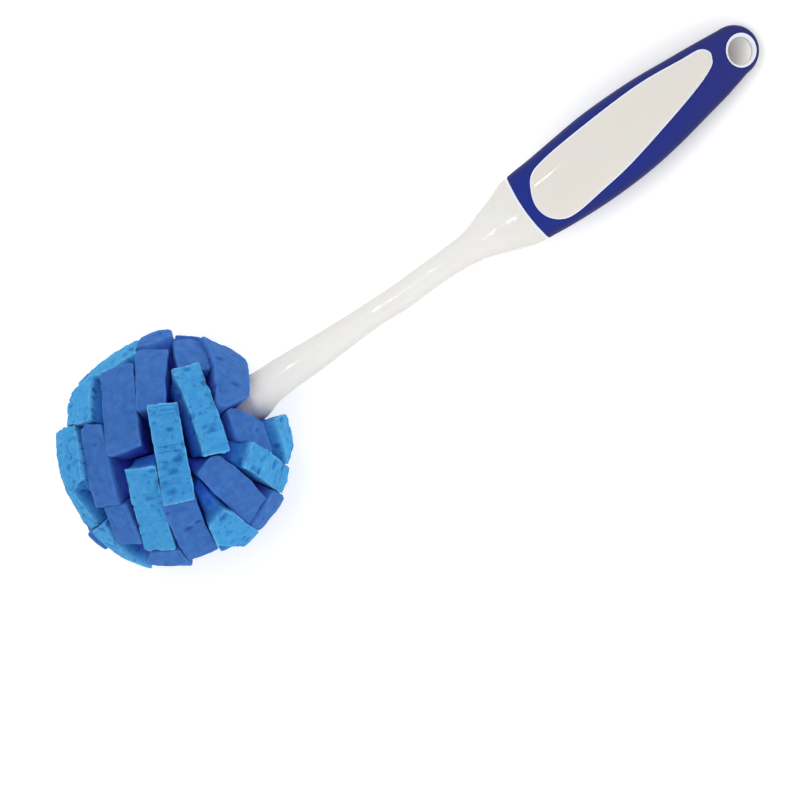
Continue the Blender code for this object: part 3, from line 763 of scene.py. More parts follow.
# %% The two foams
# Sizes and depths are in millimetres. The edge is the radius of the cut edge, and the rounding
# that of the face's corners. Craters and pores have a lattice cell, a radius, the share of
# cells that hold one, and a depth.
foam_kinds = {
    "light": {
        "edge": 0.4, "rounding": 0.6, "swell": 0.30, "ripple": 0.10, "grain": 0.07, "ragged": 0.65,
        "crease": 0.28, "craters": (4.2, 2.1, 0.55, 0.58), "pores": (1.6, 0.75, 0.60, 0.34),
    },
    "dark": {
        "edge": 0.8, "rounding": 1.0, "swell": 0.60, "ripple": 0.13, "grain": 0.05, "ragged": 0.20,
        "crease": 0.0, "craters": (7.0, 1.8, 0.50, 0.65), "pores": (2.2, 0.75, 0.40, 0.14),
    },
}

# Cells of the noises, and stretches along a strip, across its thickness and out of the ball.
SWELL_CELL = 7.0 * MM
GRAIN_CELL = 0.9 * MM
RIPPLE_CELL = 2.0 * MM
RIPPLE_STRETCH = np.array((1.0, 2.2, 1.6))
PORE_STRETCH = np.array((0.75, 1.3, 1.0))

# A crease runs where one noise is near zero, in patches where another is high.
CREASE_CELL = 1.6 * MM
CREASE_STRETCH = np.array((1.0, 4.5, 3.0))
CREASE_WIDTH = 0.22
PATCH_CELL = 8.0 * MM
PATCH_START = -0.1
PATCH_FADE = 0.4

# The torn edge leans inward, is less ragged on the long sides, and covers a band of the face
# and of the side.
RAGGED_CELL = 1.5 * MM
RAGGED_LEAN = 0.3
RAGGED_SIDES = 0.3
EDGE_BAND = 0.9 * MM
EDGE_DEPTH = 0.6 * MM
EDGE_FADE = 1.6 * MM

# Depth below the face to which foam is drawn, how it fades there, and how much painted shade a small pore or
# crease gets.
FOAM_DEPTH = 6.0 * MM
FOAM_FADE = 6.0 * MM
SMALL_PORE_SHADE_SHARE = 0.6

# The whole ball is pushed about from a share of its radius outward.
WARP_CELL = 15.0 * MM
WARP = 0.8 * MM
WARP_START = 0.4
WARP_FADE = 0.5
WARP_SEED = 90


def warped(points):
    """The whole ball pushed about a little by slow noise, so neighbours move together."""
    push = np.stack([soft_noise(points, WARP_CELL, WARP_SEED + k) for k in range(3)], -1)
    out = np.linalg.norm(points, axis=-1, keepdims=True) / BALL_RADIUS
    return points + push * WARP * ramp((out - WARP_START) / WARP_FADE)


def edge_nearness(grid, sunk):
    """1 at the cut edge, fading over a band of the face and a depth down the side."""
    rims = grid[[CAP_ROWS + 1, -CAP_ROWS - 2]]
    inward = np.zeros(grid.shape[:2])
    inward[:CAP_ROWS] = np.linalg.norm(grid[:CAP_ROWS] - rims[0], axis=-1)
    inward[-CAP_ROWS:] = np.linalg.norm(grid[-CAP_ROWS:] - rims[1], axis=-1)
    return (1.0 - ramp(inward / EDGE_BAND)) * (1.0 - ramp((sunk - EDGE_DEPTH) / EDGE_FADE))


def foam_surface(row, grid, poles, sunk, seed):
    """A strip's grid with its foam, and how far each point is down a pore and how near the cut edge.

    Slow swell and fine grain push out along the normal. Bowls and creases, both stretched across
    the slab's thickness, push in. Round the cut edge a ragged noise pushes both ways. Each noise
    adds a number of its own to the strip's seed.
    """
    values = foam_kinds[row[-1]]
    normals = grid_normals(grid)
    own_axes = np.column_stack(face_axes(*row[:3]))
    own = grid @ own_axes
    shown = 1.0 - ramp((sunk - FOAM_DEPTH) / FOAM_FADE)
    by_edge = edge_nearness(grid, sunk)
    swell = soft_noise(grid, SWELL_CELL, seed) * values["swell"]
    ripple = soft_noise(own / RIPPLE_STRETCH, RIPPLE_CELL, seed + 61) * values["ripple"]
    grain = ripple + soft_noise(grid, GRAIN_CELL, seed + 7) * values["grain"]
    at_ends = np.abs(normals @ own_axes[:, 0])
    torn = by_edge * (RAGGED_SIDES + (1.0 - RAGGED_SIDES) * at_ends)
    ragged = (soft_noise(grid, RAGGED_CELL, seed + 31) - RAGGED_LEAN) * values["ragged"] * torn
    cell, radius, share, depth = values["craters"]
    craters = pores(own / PORE_STRETCH, cell * MM, radius * MM, share, seed + 11)
    fine_cell, fine_radius, fine_share, fine_depth = values["pores"]
    fine = pores(own / PORE_STRETCH, fine_cell * MM, fine_radius * MM, fine_share, seed + 23)
    lines = 1.0 - np.abs(soft_noise(own / CREASE_STRETCH, CREASE_CELL, seed + 41)) / CREASE_WIDTH
    patches = ramp((soft_noise(own, PATCH_CELL, seed + 53) - PATCH_START) / PATCH_FADE)
    creases = np.maximum(lines, 0.0) * patches * (values["crease"] > 0.0)
    push = swell + grain + ragged - craters * depth - fine * fine_depth - creases * values["crease"]
    # How deep a point is in a pore or crease, which the material turns into painted shade.
    pore = np.clip(craters + (fine + creases) * SMALL_PORE_SHADE_SHARE, 0.0, 1.0) * shown
    moved = warped(grid + normals * (push * shown * MM)[..., None])
    return moved, warped(poles), pore, by_edge


# %% [markdown]
# Each strip is foam that fills its own slab. The lowest strips press flat where they stand on
# the floor. Each point also keeps how deep it is in a pore, how near the cut edge and how far
# below the face, which the material turns into painted shade and a painted edge highlight.

# %% Making the strips
# Strips' seeds are further apart than the numbers that the noises add, so no two share a noise.
SEED_STEP = 90
# Depth below the face at which the material's painted crevice shade is full.
PAINTED_SHADE_DEPTH = 10.0 * MM


def standing(points):
    """World places of the points, none of them below the floor."""
    placed = to_world(points)
    placed[..., 2] = np.maximum(placed[..., 2], 0.0)
    return placed


strips = []
for number, (row, face, pressed) in enumerate(zip(strip_rows, face_cones, pressed_cones), 1):
    kind = row[-1]
    edge = foam_kinds[kind]["edge"] * MM
    rounding = foam_kinds[kind]["rounding"] * MM
    grid, poles, sunk = strip_grid(row, face, pressed, edge, rounding)
    grid, poles, pore, by_edge = foam_surface(row, grid, poles, sunk, number * SEED_STEP)
    mesh = mesh_of(f"foam_strip_{number:02d}", *closed_grid(standing(grid), standing(poles)))
    depth = np.clip(sunk / PAINTED_SHADE_DEPTH, 0.0, 1.0)
    # The pore and sunk values become painted shade in the material, the edge value a painted highlight.
    for name, values in (("pore", pore), ("edge", by_edge), ("sunk", depth)):
        keep_values(mesh, name, np.append(values.ravel(), (0.0, 0.0)))
    strip = kept_piece(mesh, f"sponge_strip_{number:02d}")
    strips.append((strip, kind))
print("foam strips:", len(strips), "points in each:", len(strips[0][0].data.vertices))

# %% [markdown]
# The handle's core is one white moulding: a loop hidden in the ball, a flared foot, a slim
# round stem that widens into the grip, and the grip's inner core. Its section changes from a
# circle to a rounded oval, so it is worked out as a section carried along a table of places.

# %% The handle's sections
TAIL_PLACE = 250.0 * MM
TAIL_ROUNDING = 9.5 * MM
SWAY_AT_TAIL = 0.23 * MM

# The grip's front edge is an arc across the handle: its place, its radius and its middle.
PARTING_PLACE = 149.0 * MM
PARTING_RADIUS = 60.0 * MM
PARTING_ASIDE = -1.52 * MM
PARTING_STEPS = 6

# The section gets squarer from a share of the way to that edge.
SQUARING_START = 0.67
SQUARENESS = 0.4

# Place along the handle, half width, half depth and sideways place, in millimetres.
handle_table = np.array((
    (13.7, 1.53, 1.53, 0.0), (15.4, 2.6, 2.6, 0.0), (30.0, 7.9, 7.72, -0.8),
    (33.0, 8.3, 8.1, -0.9), (36.0, 7.6, 7.4, -1.0), (40.2, 6.8, 6.6, -0.6),
    (45.0, 6.5, 6.3, -0.4), (59.76, 5.84, 5.84, -0.80), (71.86, 5.19, 5.19, -0.94),
    (87.64, 4.72, 4.72, -1.15), (96.66, 4.90, 4.90, -1.56), (105.68, 4.84, 4.84, -1.27),
    (117.57, 5.07, 5.07, -1.20), (123.52, 5.46, 5.60, -1.43), (129.66, 6.67, 6.08, -1.50),
    (135.61, 8.77, 6.84, -1.56), (141.55, 10.72, 7.79, -1.75), (147.09, 12.57, 8.55, -1.56),
    (151.40, 13.06, 8.84, -1.52), (159.39, 13.74, 9.21, -1.66), (171.48, 14.67, 9.50, -1.43),
    (183.38, 15.20, 9.50, -0.92), (195.27, 14.96, 9.31, -0.48), (207.16, 14.03, 8.84, 0.14),
    (219.04, 12.43, 7.98, 0.74), (231.14, 10.73, 6.84, 1.38), (240.50, 9.09, 5.51, 2.05),
)) * MM


def read_handle_table(places):
    """Values at places between the table's rows: cubic curves whose slopes come from the neighbours."""
    at, values = handle_table[:, 0], handle_table[:, 1:]
    slopes = np.gradient(values, at, axis=0)
    i = np.clip(np.searchsorted(at, places) - 1, 0, len(at) - 2)
    span = (at[i + 1] - at[i])[..., None]
    t = (places[..., None] - at[i][..., None]) / span
    low = values[i] * (1.0 + 2.0 * t) * (1.0 - t) ** 2 + slopes[i] * span * t * (1.0 - t) ** 2
    high = values[i + 1] * t * t * (3.0 - 2.0 * t) + slopes[i + 1] * span * t * t * (t - 1.0)
    return low + high


def handle_at(places):
    """Half width, half depth and sideways place there. Past the last row the tail rounds off in a circle."""
    last = handle_table[-1, 0]
    wide, deep, aside = np.moveaxis(read_handle_table(np.minimum(places, last)), -1, 0)
    past = np.clip((places - last) / TAIL_ROUNDING, 0.0, 1.0)
    rounding = np.sqrt(1.0 - past ** 2)
    return wide * rounding, deep * rounding, aside + SWAY_AT_TAIL * past


def squareness(places):
    """The section's exponent: 2 is an ellipse, and the grip's 2.4 is a little squarer."""
    return 2.0 + SQUARENESS * ramp((places / PARTING_PLACE - SQUARING_START) / (1.0 - SQUARING_START))


def handle_skin(places, turns, inward=0.0):
    """Points on the handle: cosine and sine of the turn to a power, times the half sizes less an inset."""
    wide, deep, aside = handle_at(places)
    power = 2.0 / squareness(places)
    across = np.sign(np.cos(turns)) * np.abs(np.cos(turns)) ** power
    up = np.sign(np.sin(turns)) * np.abs(np.sin(turns)) ** power
    sideways = aside + (wide - inward) * across
    return np.stack(np.broadcast_arrays(places, sideways, (deep - inward) * up), -1)


def top_height(places, across):
    """Height of the handle's upper side at a point: its half depth times what the section leaves there."""
    wide, deep, aside = handle_at(places)
    share = np.clip(np.abs(across - aside) / np.maximum(wide, 1e-9), 0.0, 1.0)
    power = squareness(places)
    return deep * (1.0 - share ** power) ** (1.0 / power)


def parting_at(turns):
    """Where each line along the handle meets the grip's round front edge, found in a few steps."""
    places = np.full(turns.shape, PARTING_PLACE)
    for _ in range(PARTING_STEPS):
        aside = handle_skin(places, turns)[..., 1] - PARTING_ASIDE
        places = PARTING_PLACE + PARTING_RADIUS - np.sqrt(PARTING_RADIUS ** 2 - aside ** 2)
    return places


def even_turns(count):
    """That many even turns round a section, with the first at its side."""
    return np.arange(count) * math.tau / count


print("handle from", handle_table[0, 0], "to", TAIL_PLACE, "m from the ball's centre")

# %% [markdown]
# The white core is drawn from the loop to the grip's front edge, over a small rounded lip, and
# on inside the shell as a thinner bar that stops short of the hanging eye. The loop is a plain
# ring of round wire that the sponge strips pass through.

# %% The core: stem, foot and loop
CORE_LIP = 0.45 * MM
SHELL_WALL = 1.8 * MM
CORE_END = 234.5 * MM
PARTING_GAP = 0.04 * MM

# Points round and along each part. The step behind the lip has a ring a share of the way down,
# and the bar inside the grip starts a share of its length in.
CORE_COLUMNS = 120
STEM_ROWS = 260
LIP_ROWS = 5
STEP_SHARE = 0.6
BAR_ROWS = 30
BAR_START = 0.02
LOOP_ROWS = 96
LOOP_COLUMNS = 24

turns = even_turns(CORE_COLUMNS)
edge = parting_at(turns) - PARTING_GAP
start = handle_table[0, 0]
shares = np.linspace(0.0, 1.0, STEM_ROWS)[:, None]
skin_rows = handle_skin(start + shares * (edge - CORE_LIP - start), turns)
bends = quarter_bends(LIP_ROWS)[:, None]
lip_rows = handle_skin(edge - CORE_LIP + CORE_LIP * np.sin(bends), turns, CORE_LIP * (1.0 - np.cos(bends)))
step_insets = np.array([[STEP_SHARE], [1.0]]) * (SHELL_WALL + GAP)
step_rows = handle_skin(np.broadcast_to(edge, (2, CORE_COLUMNS)), turns, step_insets)
bar_shares = np.linspace(BAR_START, 1.0, BAR_ROWS)[:, None]
bar_rows = handle_skin(edge + bar_shares * (CORE_END - edge), turns, SHELL_WALL + GAP)
core_grid = np.concatenate((skin_rows, lip_rows, step_rows, bar_rows))[:, ::-1]
core_poles = np.array([[start, 0.0, 0.0], [CORE_END, core_grid[-1, :, 1].mean(), 0.0]])

around, wire = np.meshgrid(even_turns(LOOP_ROWS), even_turns(LOOP_COLUMNS), indexing="ij")
out = LOOP_RADIUS + LOOP_WIRE_RADIUS * np.cos(wire)
loop_grid = np.stack((out * np.cos(around), out * np.sin(around), LOOP_WIRE_RADIUS * np.sin(wire)), -1)
print("core rows:", len(core_grid), "loop:", loop_grid.shape[:2])

# %% [markdown]
# The panel and the hanging eye's collar belong to the same moulding and come up through
# openings in the grip. The panel is a teardrop, drawn as a smooth closed curve through places
# read off the photograph. The eye is an oval that lies aslant.

# %% Outlines of the panel and the eye
PANEL_COLUMNS = 360
EYE_MIDDLE = np.array((243.1, 0.75)) * MM
EYE_HALF = np.array((4.5, 3.8)) * MM
EYE_TURN = math.radians(55.0)
EYE_COLUMNS = 160

# Places round the teardrop, along the handle and across it, in millimetres.
panel_places = np.array((
    (152.8, -2.58), (154.6, 3.04), (158.0, 7.3), (163.9, 9.12), (175.1, 10.34), (196.1, 11.55),
    (210.0, 11.55), (223.9, 10.18), (231.0, 9.42), (233.7, 6.84), (233.2, 4.26), (231.0, 1.82),
    (223.9, -1.06), (210.0, -4.86), (189.0, -9.73), (175.1, -11.7), (163.9, -12.92),
    (158.0, -11.86), (153.9, -7.9),
)) * MM


def round_curve(corners, count):
    """A closed curve through corners: each stretch a cubic with slopes from the corners beside it."""
    at = np.arange(count) * len(corners) / count
    k = at.astype(int)
    t = (at - k)[:, None]
    a, b, c, d = (corners[(k + j) % len(corners)] for j in (-1, 0, 1, 2))
    return 0.5 * (2.0 * b + (c - a) * t + (2.0 * a - 5.0 * b + 4.0 * c - d) * t ** 2
                  + (3.0 * b - a - 3.0 * c + d) * t ** 3)


def grown_curve(points, margin):
    """A closed curve moved outward: each point along the normal of the chord between its neighbours."""
    ahead = unit(np.roll(points, -1, 0) - np.roll(points, 1, 0))
    area = (points[:, 0] * np.roll(points[:, 1], -1) - points[:, 1] * np.roll(points[:, 0], -1)).sum()
    side = np.column_stack((ahead[:, 1], -ahead[:, 0])) * np.sign(area)
    return points + side * margin


def eye_curve(margin, shift=(0.0, 0.0)):
    """The eye's oval, grown by a margin and turned: half length by cosine, half width by sine."""
    t = even_turns(EYE_COLUMNS)
    oval = np.column_stack(((EYE_HALF[0] + margin) * np.cos(t), (EYE_HALF[1] + margin) * np.sin(t)))
    c, s = math.cos(EYE_TURN), math.sin(EYE_TURN)
    return EYE_MIDDLE + np.array(shift) + oval @ np.array([[c, s], [-s, c]])


panel_curve = round_curve(panel_places, PANEL_COLUMNS)
print("panel:", np.ptp(panel_curve, axis=0).round(4), "m, eye:", (EYE_HALF * 2 / MM).round(1), "mm")

# %% [markdown]
# The panel stands a third of a millimetre above the rubber, with a softly rounded rim that
# catches the light. The collar is a tube whose lip is a half round. Its hole lies a little to
# the ball's side, so the wall looks wider toward the tail, and it narrows to a waist inside.

# %% The panel and the collar
PANEL_RAISE = 0.35 * MM
PANEL_RIM = 0.7 * MM
PANEL_DEPTH = 3.0 * MM
PANEL_GAP = 0.03 * MM
PANEL_RIM_ROWS = 6
PANEL_RINGS = 24

# The collar's outside, the hole at its lip and the waist inside, as margins round the eye.
COLLAR_WALL = 1.6 * MM
COLLAR_OPENING = 0.5 * MM
COLLAR_WAIST = 0.2 * MM
COLLAR_RAISE = 0.35 * MM
COLLAR_LIP_STEPS = 8
COLLAR_LIP_ROUND = 0.55
HOLE_ASIDE = np.array((-0.5, 0.03)) * MM


def panel_rows():
    """Rings of the panel from its hidden foot over a rounded rim to the middle of its top, and its tip."""
    outer = grown_curve(panel_curve, -PANEL_GAP)
    middle = outer.mean(0)
    rings = [(outer, PANEL_DEPTH), (outer, PANEL_RIM)]
    for bend in quarter_bends(PANEL_RIM_ROWS):
        inset = PANEL_RIM * (1.0 - math.cos(bend))
        rings.append((grown_curve(outer, -inset), PANEL_RIM * (1.0 - math.sin(bend))))
    inner = rings[-1][0]
    for share in np.linspace(1.0, 0.0, PANEL_RINGS + 2)[1:-1]:
        rings.append((middle + (inner - middle) * share, 0.0))
    made = []
    for ring, drop in rings:
        height = top_height(ring[:, 0], ring[:, 1]) + PANEL_RAISE - drop
        made.append(np.column_stack((ring, height)))
    tip = np.array([*middle, top_height(middle[:1], middle[1:])[0] + PANEL_RAISE])
    return np.array(made), tip


def collar_rows():
    """The collar's closed profile, carried round the eye: out, over the lip, down the hole and under.

    The lip moves in by one minus the cosine of its bend and rises by the sine, so it is a half
    round, flattened a little.
    """
    rings = []
    half_wall = (COLLAR_WALL - COLLAR_OPENING) / 2.0
    outside = eye_curve(COLLAR_WALL)
    top = top_height(outside[:, 0], outside[:, 1]) + COLLAR_RAISE
    bends = np.arange(0, COLLAR_LIP_STEPS + 1) / COLLAR_LIP_STEPS * math.pi
    for side in (1.0, -1.0):
        for bend in bends if side > 0 else bends[::-1]:
            aside = HOLE_ASIDE * (1.0 - math.cos(bend)) / 2.0
            ring = eye_curve(COLLAR_WALL - half_wall * (1.0 - math.cos(bend)), shift=aside)
            height = top - half_wall * COLLAR_LIP_ROUND * (1.0 - math.sin(bend))
            rings.append(np.column_stack((ring, side * height)))
        if side > 0:
            waist = eye_curve(COLLAR_WAIST, shift=HOLE_ASIDE)
            rings.append(np.column_stack((waist, 0.0 * top)))
    return np.array(rings)


panel_grid, panel_tip = panel_rows()
collar_grid = collar_rows()
print("panel rings:", len(panel_grid), "collar rings:", len(collar_grid))

# %% [markdown]
# The four parts of the core are one moulding, so they become one mesh: bar with foot and
# stem, panel, loop and collar. The moulding's rims get a painted highlight, a thin bluish line
# where light gathers in the rounded edge. Each point keeps how much of that highlight it gets.

# %% The whole core
# Which rings of the panel and the collar get the painted rim highlight, and how much.
PANEL_HIGHLIGHT_ROWS = slice(1, 6)
COLLAR_LIP_ROWS = slice(0, 7)
COLLAR_LIP_HIGHLIGHT = 0.7
COLLAR_INNER_ROWS = slice(7, 9)
COLLAR_INNER_HIGHLIGHT = 0.3


def turned_outward(mesh):
    """Take out points that no face uses and turn every face outward."""
    mesh.validate()
    shape = bmesh.new()
    shape.from_mesh(mesh)
    bmesh.ops.delete(shape, geom=[v for v in shape.verts if not v.link_faces], context="VERTS")
    bmesh.ops.recalc_face_normals(shape, faces=shape.faces)
    shape.to_mesh(mesh)
    shape.free()
    mesh.shade_smooth()
    return mesh


# Painted rim highlight: how much bluish white each point of each part gets.
core_rim_highlight = np.zeros(core_grid.shape[:2])
core_rim_highlight[len(skin_rows) - 1:len(skin_rows) + len(lip_rows) - 1] = 1.0
panel_rim_highlight = np.zeros(panel_grid.shape[:2])
panel_rim_highlight[PANEL_HIGHLIGHT_ROWS] = 1.0
collar_rim_highlight = np.zeros(collar_grid.shape[:2])
collar_rim_highlight[COLLAR_LIP_ROWS] = COLLAR_LIP_HIGHLIGHT
collar_rim_highlight[COLLAR_INNER_ROWS] = COLLAR_INNER_HIGHLIGHT
at_poles = (0.0, 0.0)
loop_rim_highlight = np.zeros(loop_grid.shape[:2])
rims = (core_rim_highlight.ravel(), at_poles, panel_rim_highlight[::-1].ravel(), at_poles, loop_rim_highlight.ravel(), collar_rim_highlight.ravel())

panel_floor = np.array([*panel_grid[0, :, :2].mean(0), panel_grid[0, :, 2].min()])
loop_faces = grid_faces(LOOP_ROWS, LOOP_COLUMNS, wraps=True)[:, ::-1]
collar_faces = grid_faces(*collar_grid.shape[:2], wraps=True)
parts = (closed_grid(core_grid, core_poles),
         closed_grid(panel_grid[::-1], np.array([panel_tip, panel_floor])),
         (loop_grid.reshape(-1, 3), loop_faces),
         (collar_grid.reshape(-1, 3), collar_faces))
points = []
groups = []
first = 0
for part_points, *part_faces in parts:
    groups += [group + first for group in part_faces]
    points.append(part_points)
    first += len(part_points)
core_mesh = turned_outward(mesh_of("moulded_handle_core", to_world(np.concatenate(points)), *groups))
keep_values(core_mesh, "rim", np.concatenate(rims))
core = kept_piece(core_mesh, "handle_core")
print("core points:", len(core_mesh.vertices))

# %% [markdown]
# The grip is soft rubber, moulded round the core in a second mould. It leaves the panel and the
# eye open. To cut such openings in a grid, each grid point has to know how far it is from an
# outline and where along it the nearest place is.

# %% Distance to an outline


def drop_onto(points, curve):
    """Signed distance to a closed curve, positive outside, and where along it the nearest place is.

    Each point is dropped onto every straight piece of the curve and the shortest drop is kept. It
    is inside when a line from it to the right crosses the curve an odd number of times.
    """
    ends = np.roll(curve, -1, 0)
    span = ends - curve
    from_start = points[:, None] - curve
    t = np.clip((from_start * span).sum(-1) / (span ** 2).sum(-1), 0.0, 1.0)
    apart = np.linalg.norm(from_start - t[..., None] * span, axis=-1)
    nearest = apart.argmin(1)
    rows = np.arange(len(points))
    across, up = points[:, None, 0], points[:, None, 1]
    level = (curve[:, 1] > up) != (ends[:, 1] > up)
    slope = span[:, 0] / np.where(span[:, 1] == 0.0, 1.0, span[:, 1])
    crossing = level & (across < slope * (up - curve[:, 1]) + curve[:, 0])
    inside = crossing.sum(1) % 2 == 1
    return np.where(inside, -1.0, 1.0) * apart[rows, nearest], nearest + t[rows, nearest]


def along_curve(curve, at):
    """The points of a closed curve at whole and part numbers of its straight pieces."""
    k = np.floor(at).astype(int) % len(curve)
    return curve[k] + (curve[(k + 1) % len(curve)] - curve[k]) * (at - np.floor(at))[:, None]


# %% [markdown]
# The rubber's outer skin is the handle's own surface as a grid, and the inner skin is the same
# grid one wall thickness further in. The wall thins out toward the tail, where the handle gets
# shallow.

# %% The grip's two skins
SHELL_COLUMNS = 176
SHELL_ROWS = 186
TAIL_ROWS = 20
SHELL_LIP = 0.45 * MM

# The wall is at most this share of the handle's half depth.
WALL_SHARE = 0.45

# Where the columns are spaced evenly, and in how many fine steps the section there is measured.
WIDEST_PLACE = 183.4 * MM
FINE_STEPS = 4001


def evenly_spaced_turns(count):
    """Turns that space points evenly round the grip's widest section, by its length so far."""
    fine = np.linspace(0.0, math.tau, FINE_STEPS)
    ring = handle_skin(np.full(len(fine), WIDEST_PLACE), fine)
    so_far = np.concatenate(([0.0], np.cumsum(np.linalg.norm(np.diff(ring, axis=0), axis=1))))
    return np.interp(np.arange(count) / count * so_far[-1], so_far, fine)


def wall_at(depth):
    """The rubber's wall where the handle has a half depth: thinner where that is small."""
    return np.minimum(SHELL_WALL, WALL_SHARE * depth)


turns = evenly_spaced_turns(SHELL_COLUMNS)
front = parting_at(turns)
last = handle_table[-1, 0]
row_shares = np.linspace(0.0, 1.0, SHELL_ROWS)[:, None]
main_places = front + SHELL_LIP + row_shares * (last - front - SHELL_LIP)
tail_places = last + TAIL_ROUNDING * np.sin(np.arange(1, TAIL_ROWS) / TAIL_ROWS * math.pi / 2.0)
tail_places = np.broadcast_to(tail_places[:, None], (TAIL_ROWS - 1, SHELL_COLUMNS))
places = np.concatenate((main_places, tail_places))
wall = wall_at(handle_at(places)[1])
outer_skin = handle_skin(places, turns)
inner_places = places - wall * np.clip((places - last) / TAIL_ROUNDING, 0.0, 1.0)
inner_skin = handle_skin(inner_places, turns, wall)
print("grip grid:", places.shape)

# %% [markdown]
# The grip has three openings: one for the panel and two for the eye, front and back. Each has
# an outline, and one a lip's width further out where its rounded rim starts. Every grid point
# is measured to the nearest of those wider outlines.

# %% Grid points measured to the openings
COLLAR_GAP = 0.03 * MM

# Points this near to an opening's box are measured, and all others count as far off.
NEAR = 2.0 * MM
FAR_OFF = 1.0

openings = [(panel_curve, grown_curve(panel_curve, SHELL_LIP), 1.0)]
eye_hole = eye_curve(COLLAR_WALL + COLLAR_GAP)
eye_rim = eye_curve(COLLAR_WALL + COLLAR_GAP + SHELL_LIP)
openings += [(eye_hole, eye_rim, 1.0), (eye_hole, eye_rim, -1.0)]

outer_points = outer_skin.reshape(-1, 3)
inner_points = inner_skin.reshape(-1, 3).copy()
distance = np.full(len(outer_points), FAR_OFF)
at_curve = np.zeros(len(outer_points))
which = np.full(len(outer_points), -1)
for k, (_, rim_curve, side) in enumerate(openings):
    low = rim_curve.min(0) - NEAR
    high = rim_curve.max(0) + NEAR
    in_box = ((outer_points[:, :2] > low) & (outer_points[:, :2] < high)).all(1)
    near = np.flatnonzero(in_box & (outer_points[:, 2] * side > 0.0))
    apart_by, at = drop_onto(outer_points[near, :2], rim_curve)
    closer = apart_by < distance[near]
    near = near[closer]
    distance[near] = apart_by[closer]
    at_curve[near] = at[closer]
    which[near] = k
print("grid points inside an opening:", int((distance < 0.0).sum()))

# %% [markdown]
# Where an outline crosses a side of the grid, the nearer of its two points is moved onto the
# outline, with its partner on the inner skin. The squares are then split in two so that no
# triangle crosses the outline, and the triangles inside are left out. The edge of an opening is
# as smooth as its curve, whatever the grid.

# %% Openings cut in the skins
index = np.arange(places.size).reshape(places.shape)
snapped = np.zeros(len(distance), bool)
for a, b in ((index[:-1], index[1:]), (index, np.roll(index, -1, axis=1))):
    crossing = (distance[a] > 0.0) != (distance[b] > 0.0)
    nearer = np.where(np.abs(distance[a]) <= np.abs(distance[b]), a, b)
    snapped[nearer[crossing]] = True
for k, (_, rim_curve, side) in enumerate(openings):
    here = np.flatnonzero(snapped & (which == k))
    place = along_curve(rim_curve, at_curve[here])
    height = top_height(place[:, 0], place[:, 1])
    outer_points[here] = np.column_stack((place, side * height))
    inner_points[here] = np.column_stack((place, side * (height - wall_at(height))))
sign = np.where(snapped, 0, np.sign(distance)).astype(int)

a, b = index[:-1], index[1:]
c, d = np.roll(b, -1, axis=1), np.roll(a, -1, axis=1)
a, b, c, d = (corner.ravel() for corner in (a, b, c, d))
turned = (sign[a] * sign[c] < 0)[:, None]
first_half = np.where(turned, np.column_stack((a, b, d)), np.column_stack((a, b, c)))
second_half = np.where(turned, np.column_stack((b, c, d)), np.column_stack((a, c, d)))
triangles = np.concatenate((first_half, second_half))
signs = sign[triangles]
triangles = triangles[(signs.min(1) >= 0) & (signs.max(1) > 0)]
print("grip triangles on the outer skin:", len(triangles))

# %% [markdown]
# From each opening's outline a rounded rim runs down to the inner skin, and another closes
# the front edge, so the rubber is one closed wall. At the tail each skin ends in a point.

# %% Rims, front lip and tail, and the whole shell
SHELL_RIM_ROWS = 5
TAIL_WALL = 0.45 * MM

# A band of rim: the ring that it starts from, the new rings, and the ring that it ends at.
bands = []
for k, (curve, rim_curve, side) in enumerate(openings):
    rim = np.unique(triangles[sign[triangles] == 0])
    rim = rim[which[rim] == k]
    rim = rim[np.argsort(at_curve[rim])]
    base = along_curve(curve, at_curve[rim])
    outward = along_curve(rim_curve, at_curve[rim]) - base
    made = []
    for bend in quarter_bends(SHELL_RIM_ROWS):
        place = base + outward * (1.0 - math.sin(bend))
        height = top_height(place[:, 0], place[:, 1]) - SHELL_LIP * (1.0 - math.cos(bend))
        made.append(np.column_stack((place, side * height)))
    height = top_height(base[:, 0], base[:, 1])
    made.append(np.column_stack((base, side * (height - wall_at(height)))))
    bands.append((rim, made, rim + len(outer_points)))
made = []
for bend in quarter_bends(SHELL_RIM_ROWS):
    inset = SHELL_LIP * (1.0 - math.cos(bend))
    made.append(handle_skin(front + SHELL_LIP * (1.0 - math.sin(bend)), turns, inset))
made.append(handle_skin(front, turns, SHELL_WALL))
bands.append((index[0], made, index[0] + len(outer_points)))

shell_points = [outer_points, inner_points]
shell_faces = [triangles, triangles + len(outer_points)]
count = 2 * len(outer_points)
for first_ring, made, last_ring in bands:
    rings = [first_ring]
    for ring in made:
        shell_points.append(ring)
        rings.append(count + np.arange(len(ring)))
        count += len(ring)
    rings.append(last_ring)
    for upper, lower in zip(rings, rings[1:]):
        shell_faces.append(np.column_stack((upper, lower, np.roll(lower, -1), np.roll(upper, -1))))
shell_points.append(handle_skin(np.array([TAIL_PLACE, TAIL_PLACE - TAIL_WALL]), np.zeros(2)))
shell_faces += [fan_faces(index[-1], count), fan_faces(index[-1] + len(outer_points), count + 1)]
shell_mesh = mesh_of("soft_grip_shell", to_world(np.concatenate(shell_points)), *shell_faces)
shell = kept_piece(turned_outward(shell_mesh), "grip_shell")
print("grip points:", len(shell_mesh.vertices))

# %% [markdown]
# The sponge is polyurethane foam, dyed through and cut with a blade. Its cell walls scatter the
# light, which leaves a dull, even blue and no gloss at all. Opened bubbles and creases get a
# painted shade, the torn edge a paler painted highlight, and down between the strips a painted
# shade deepens the blue. Bump adds the cells that are finer than the mesh.

# %% Sponge material
# Cells in millimetres. From and to are where in a noise or a depth the next blue starts and is
# full; the depth's blue is a painted crevice shade. The edge's painted highlight is mixed in by a share at
# most.
FOAM_SCATTER = (0.35, 0.6, 1.0)
MOTTLE_CELL = 3.0
MOTTLE_FROM = 0.35
MOTTLE_TO = 0.7
EDGE_HIGHLIGHT_SHARE = 0.5
SHADE_FROM = 0.06
SHADE_TO = 0.7
FUZZ_CELL = 0.5
FOAM_BUMP = 0.2 * MM


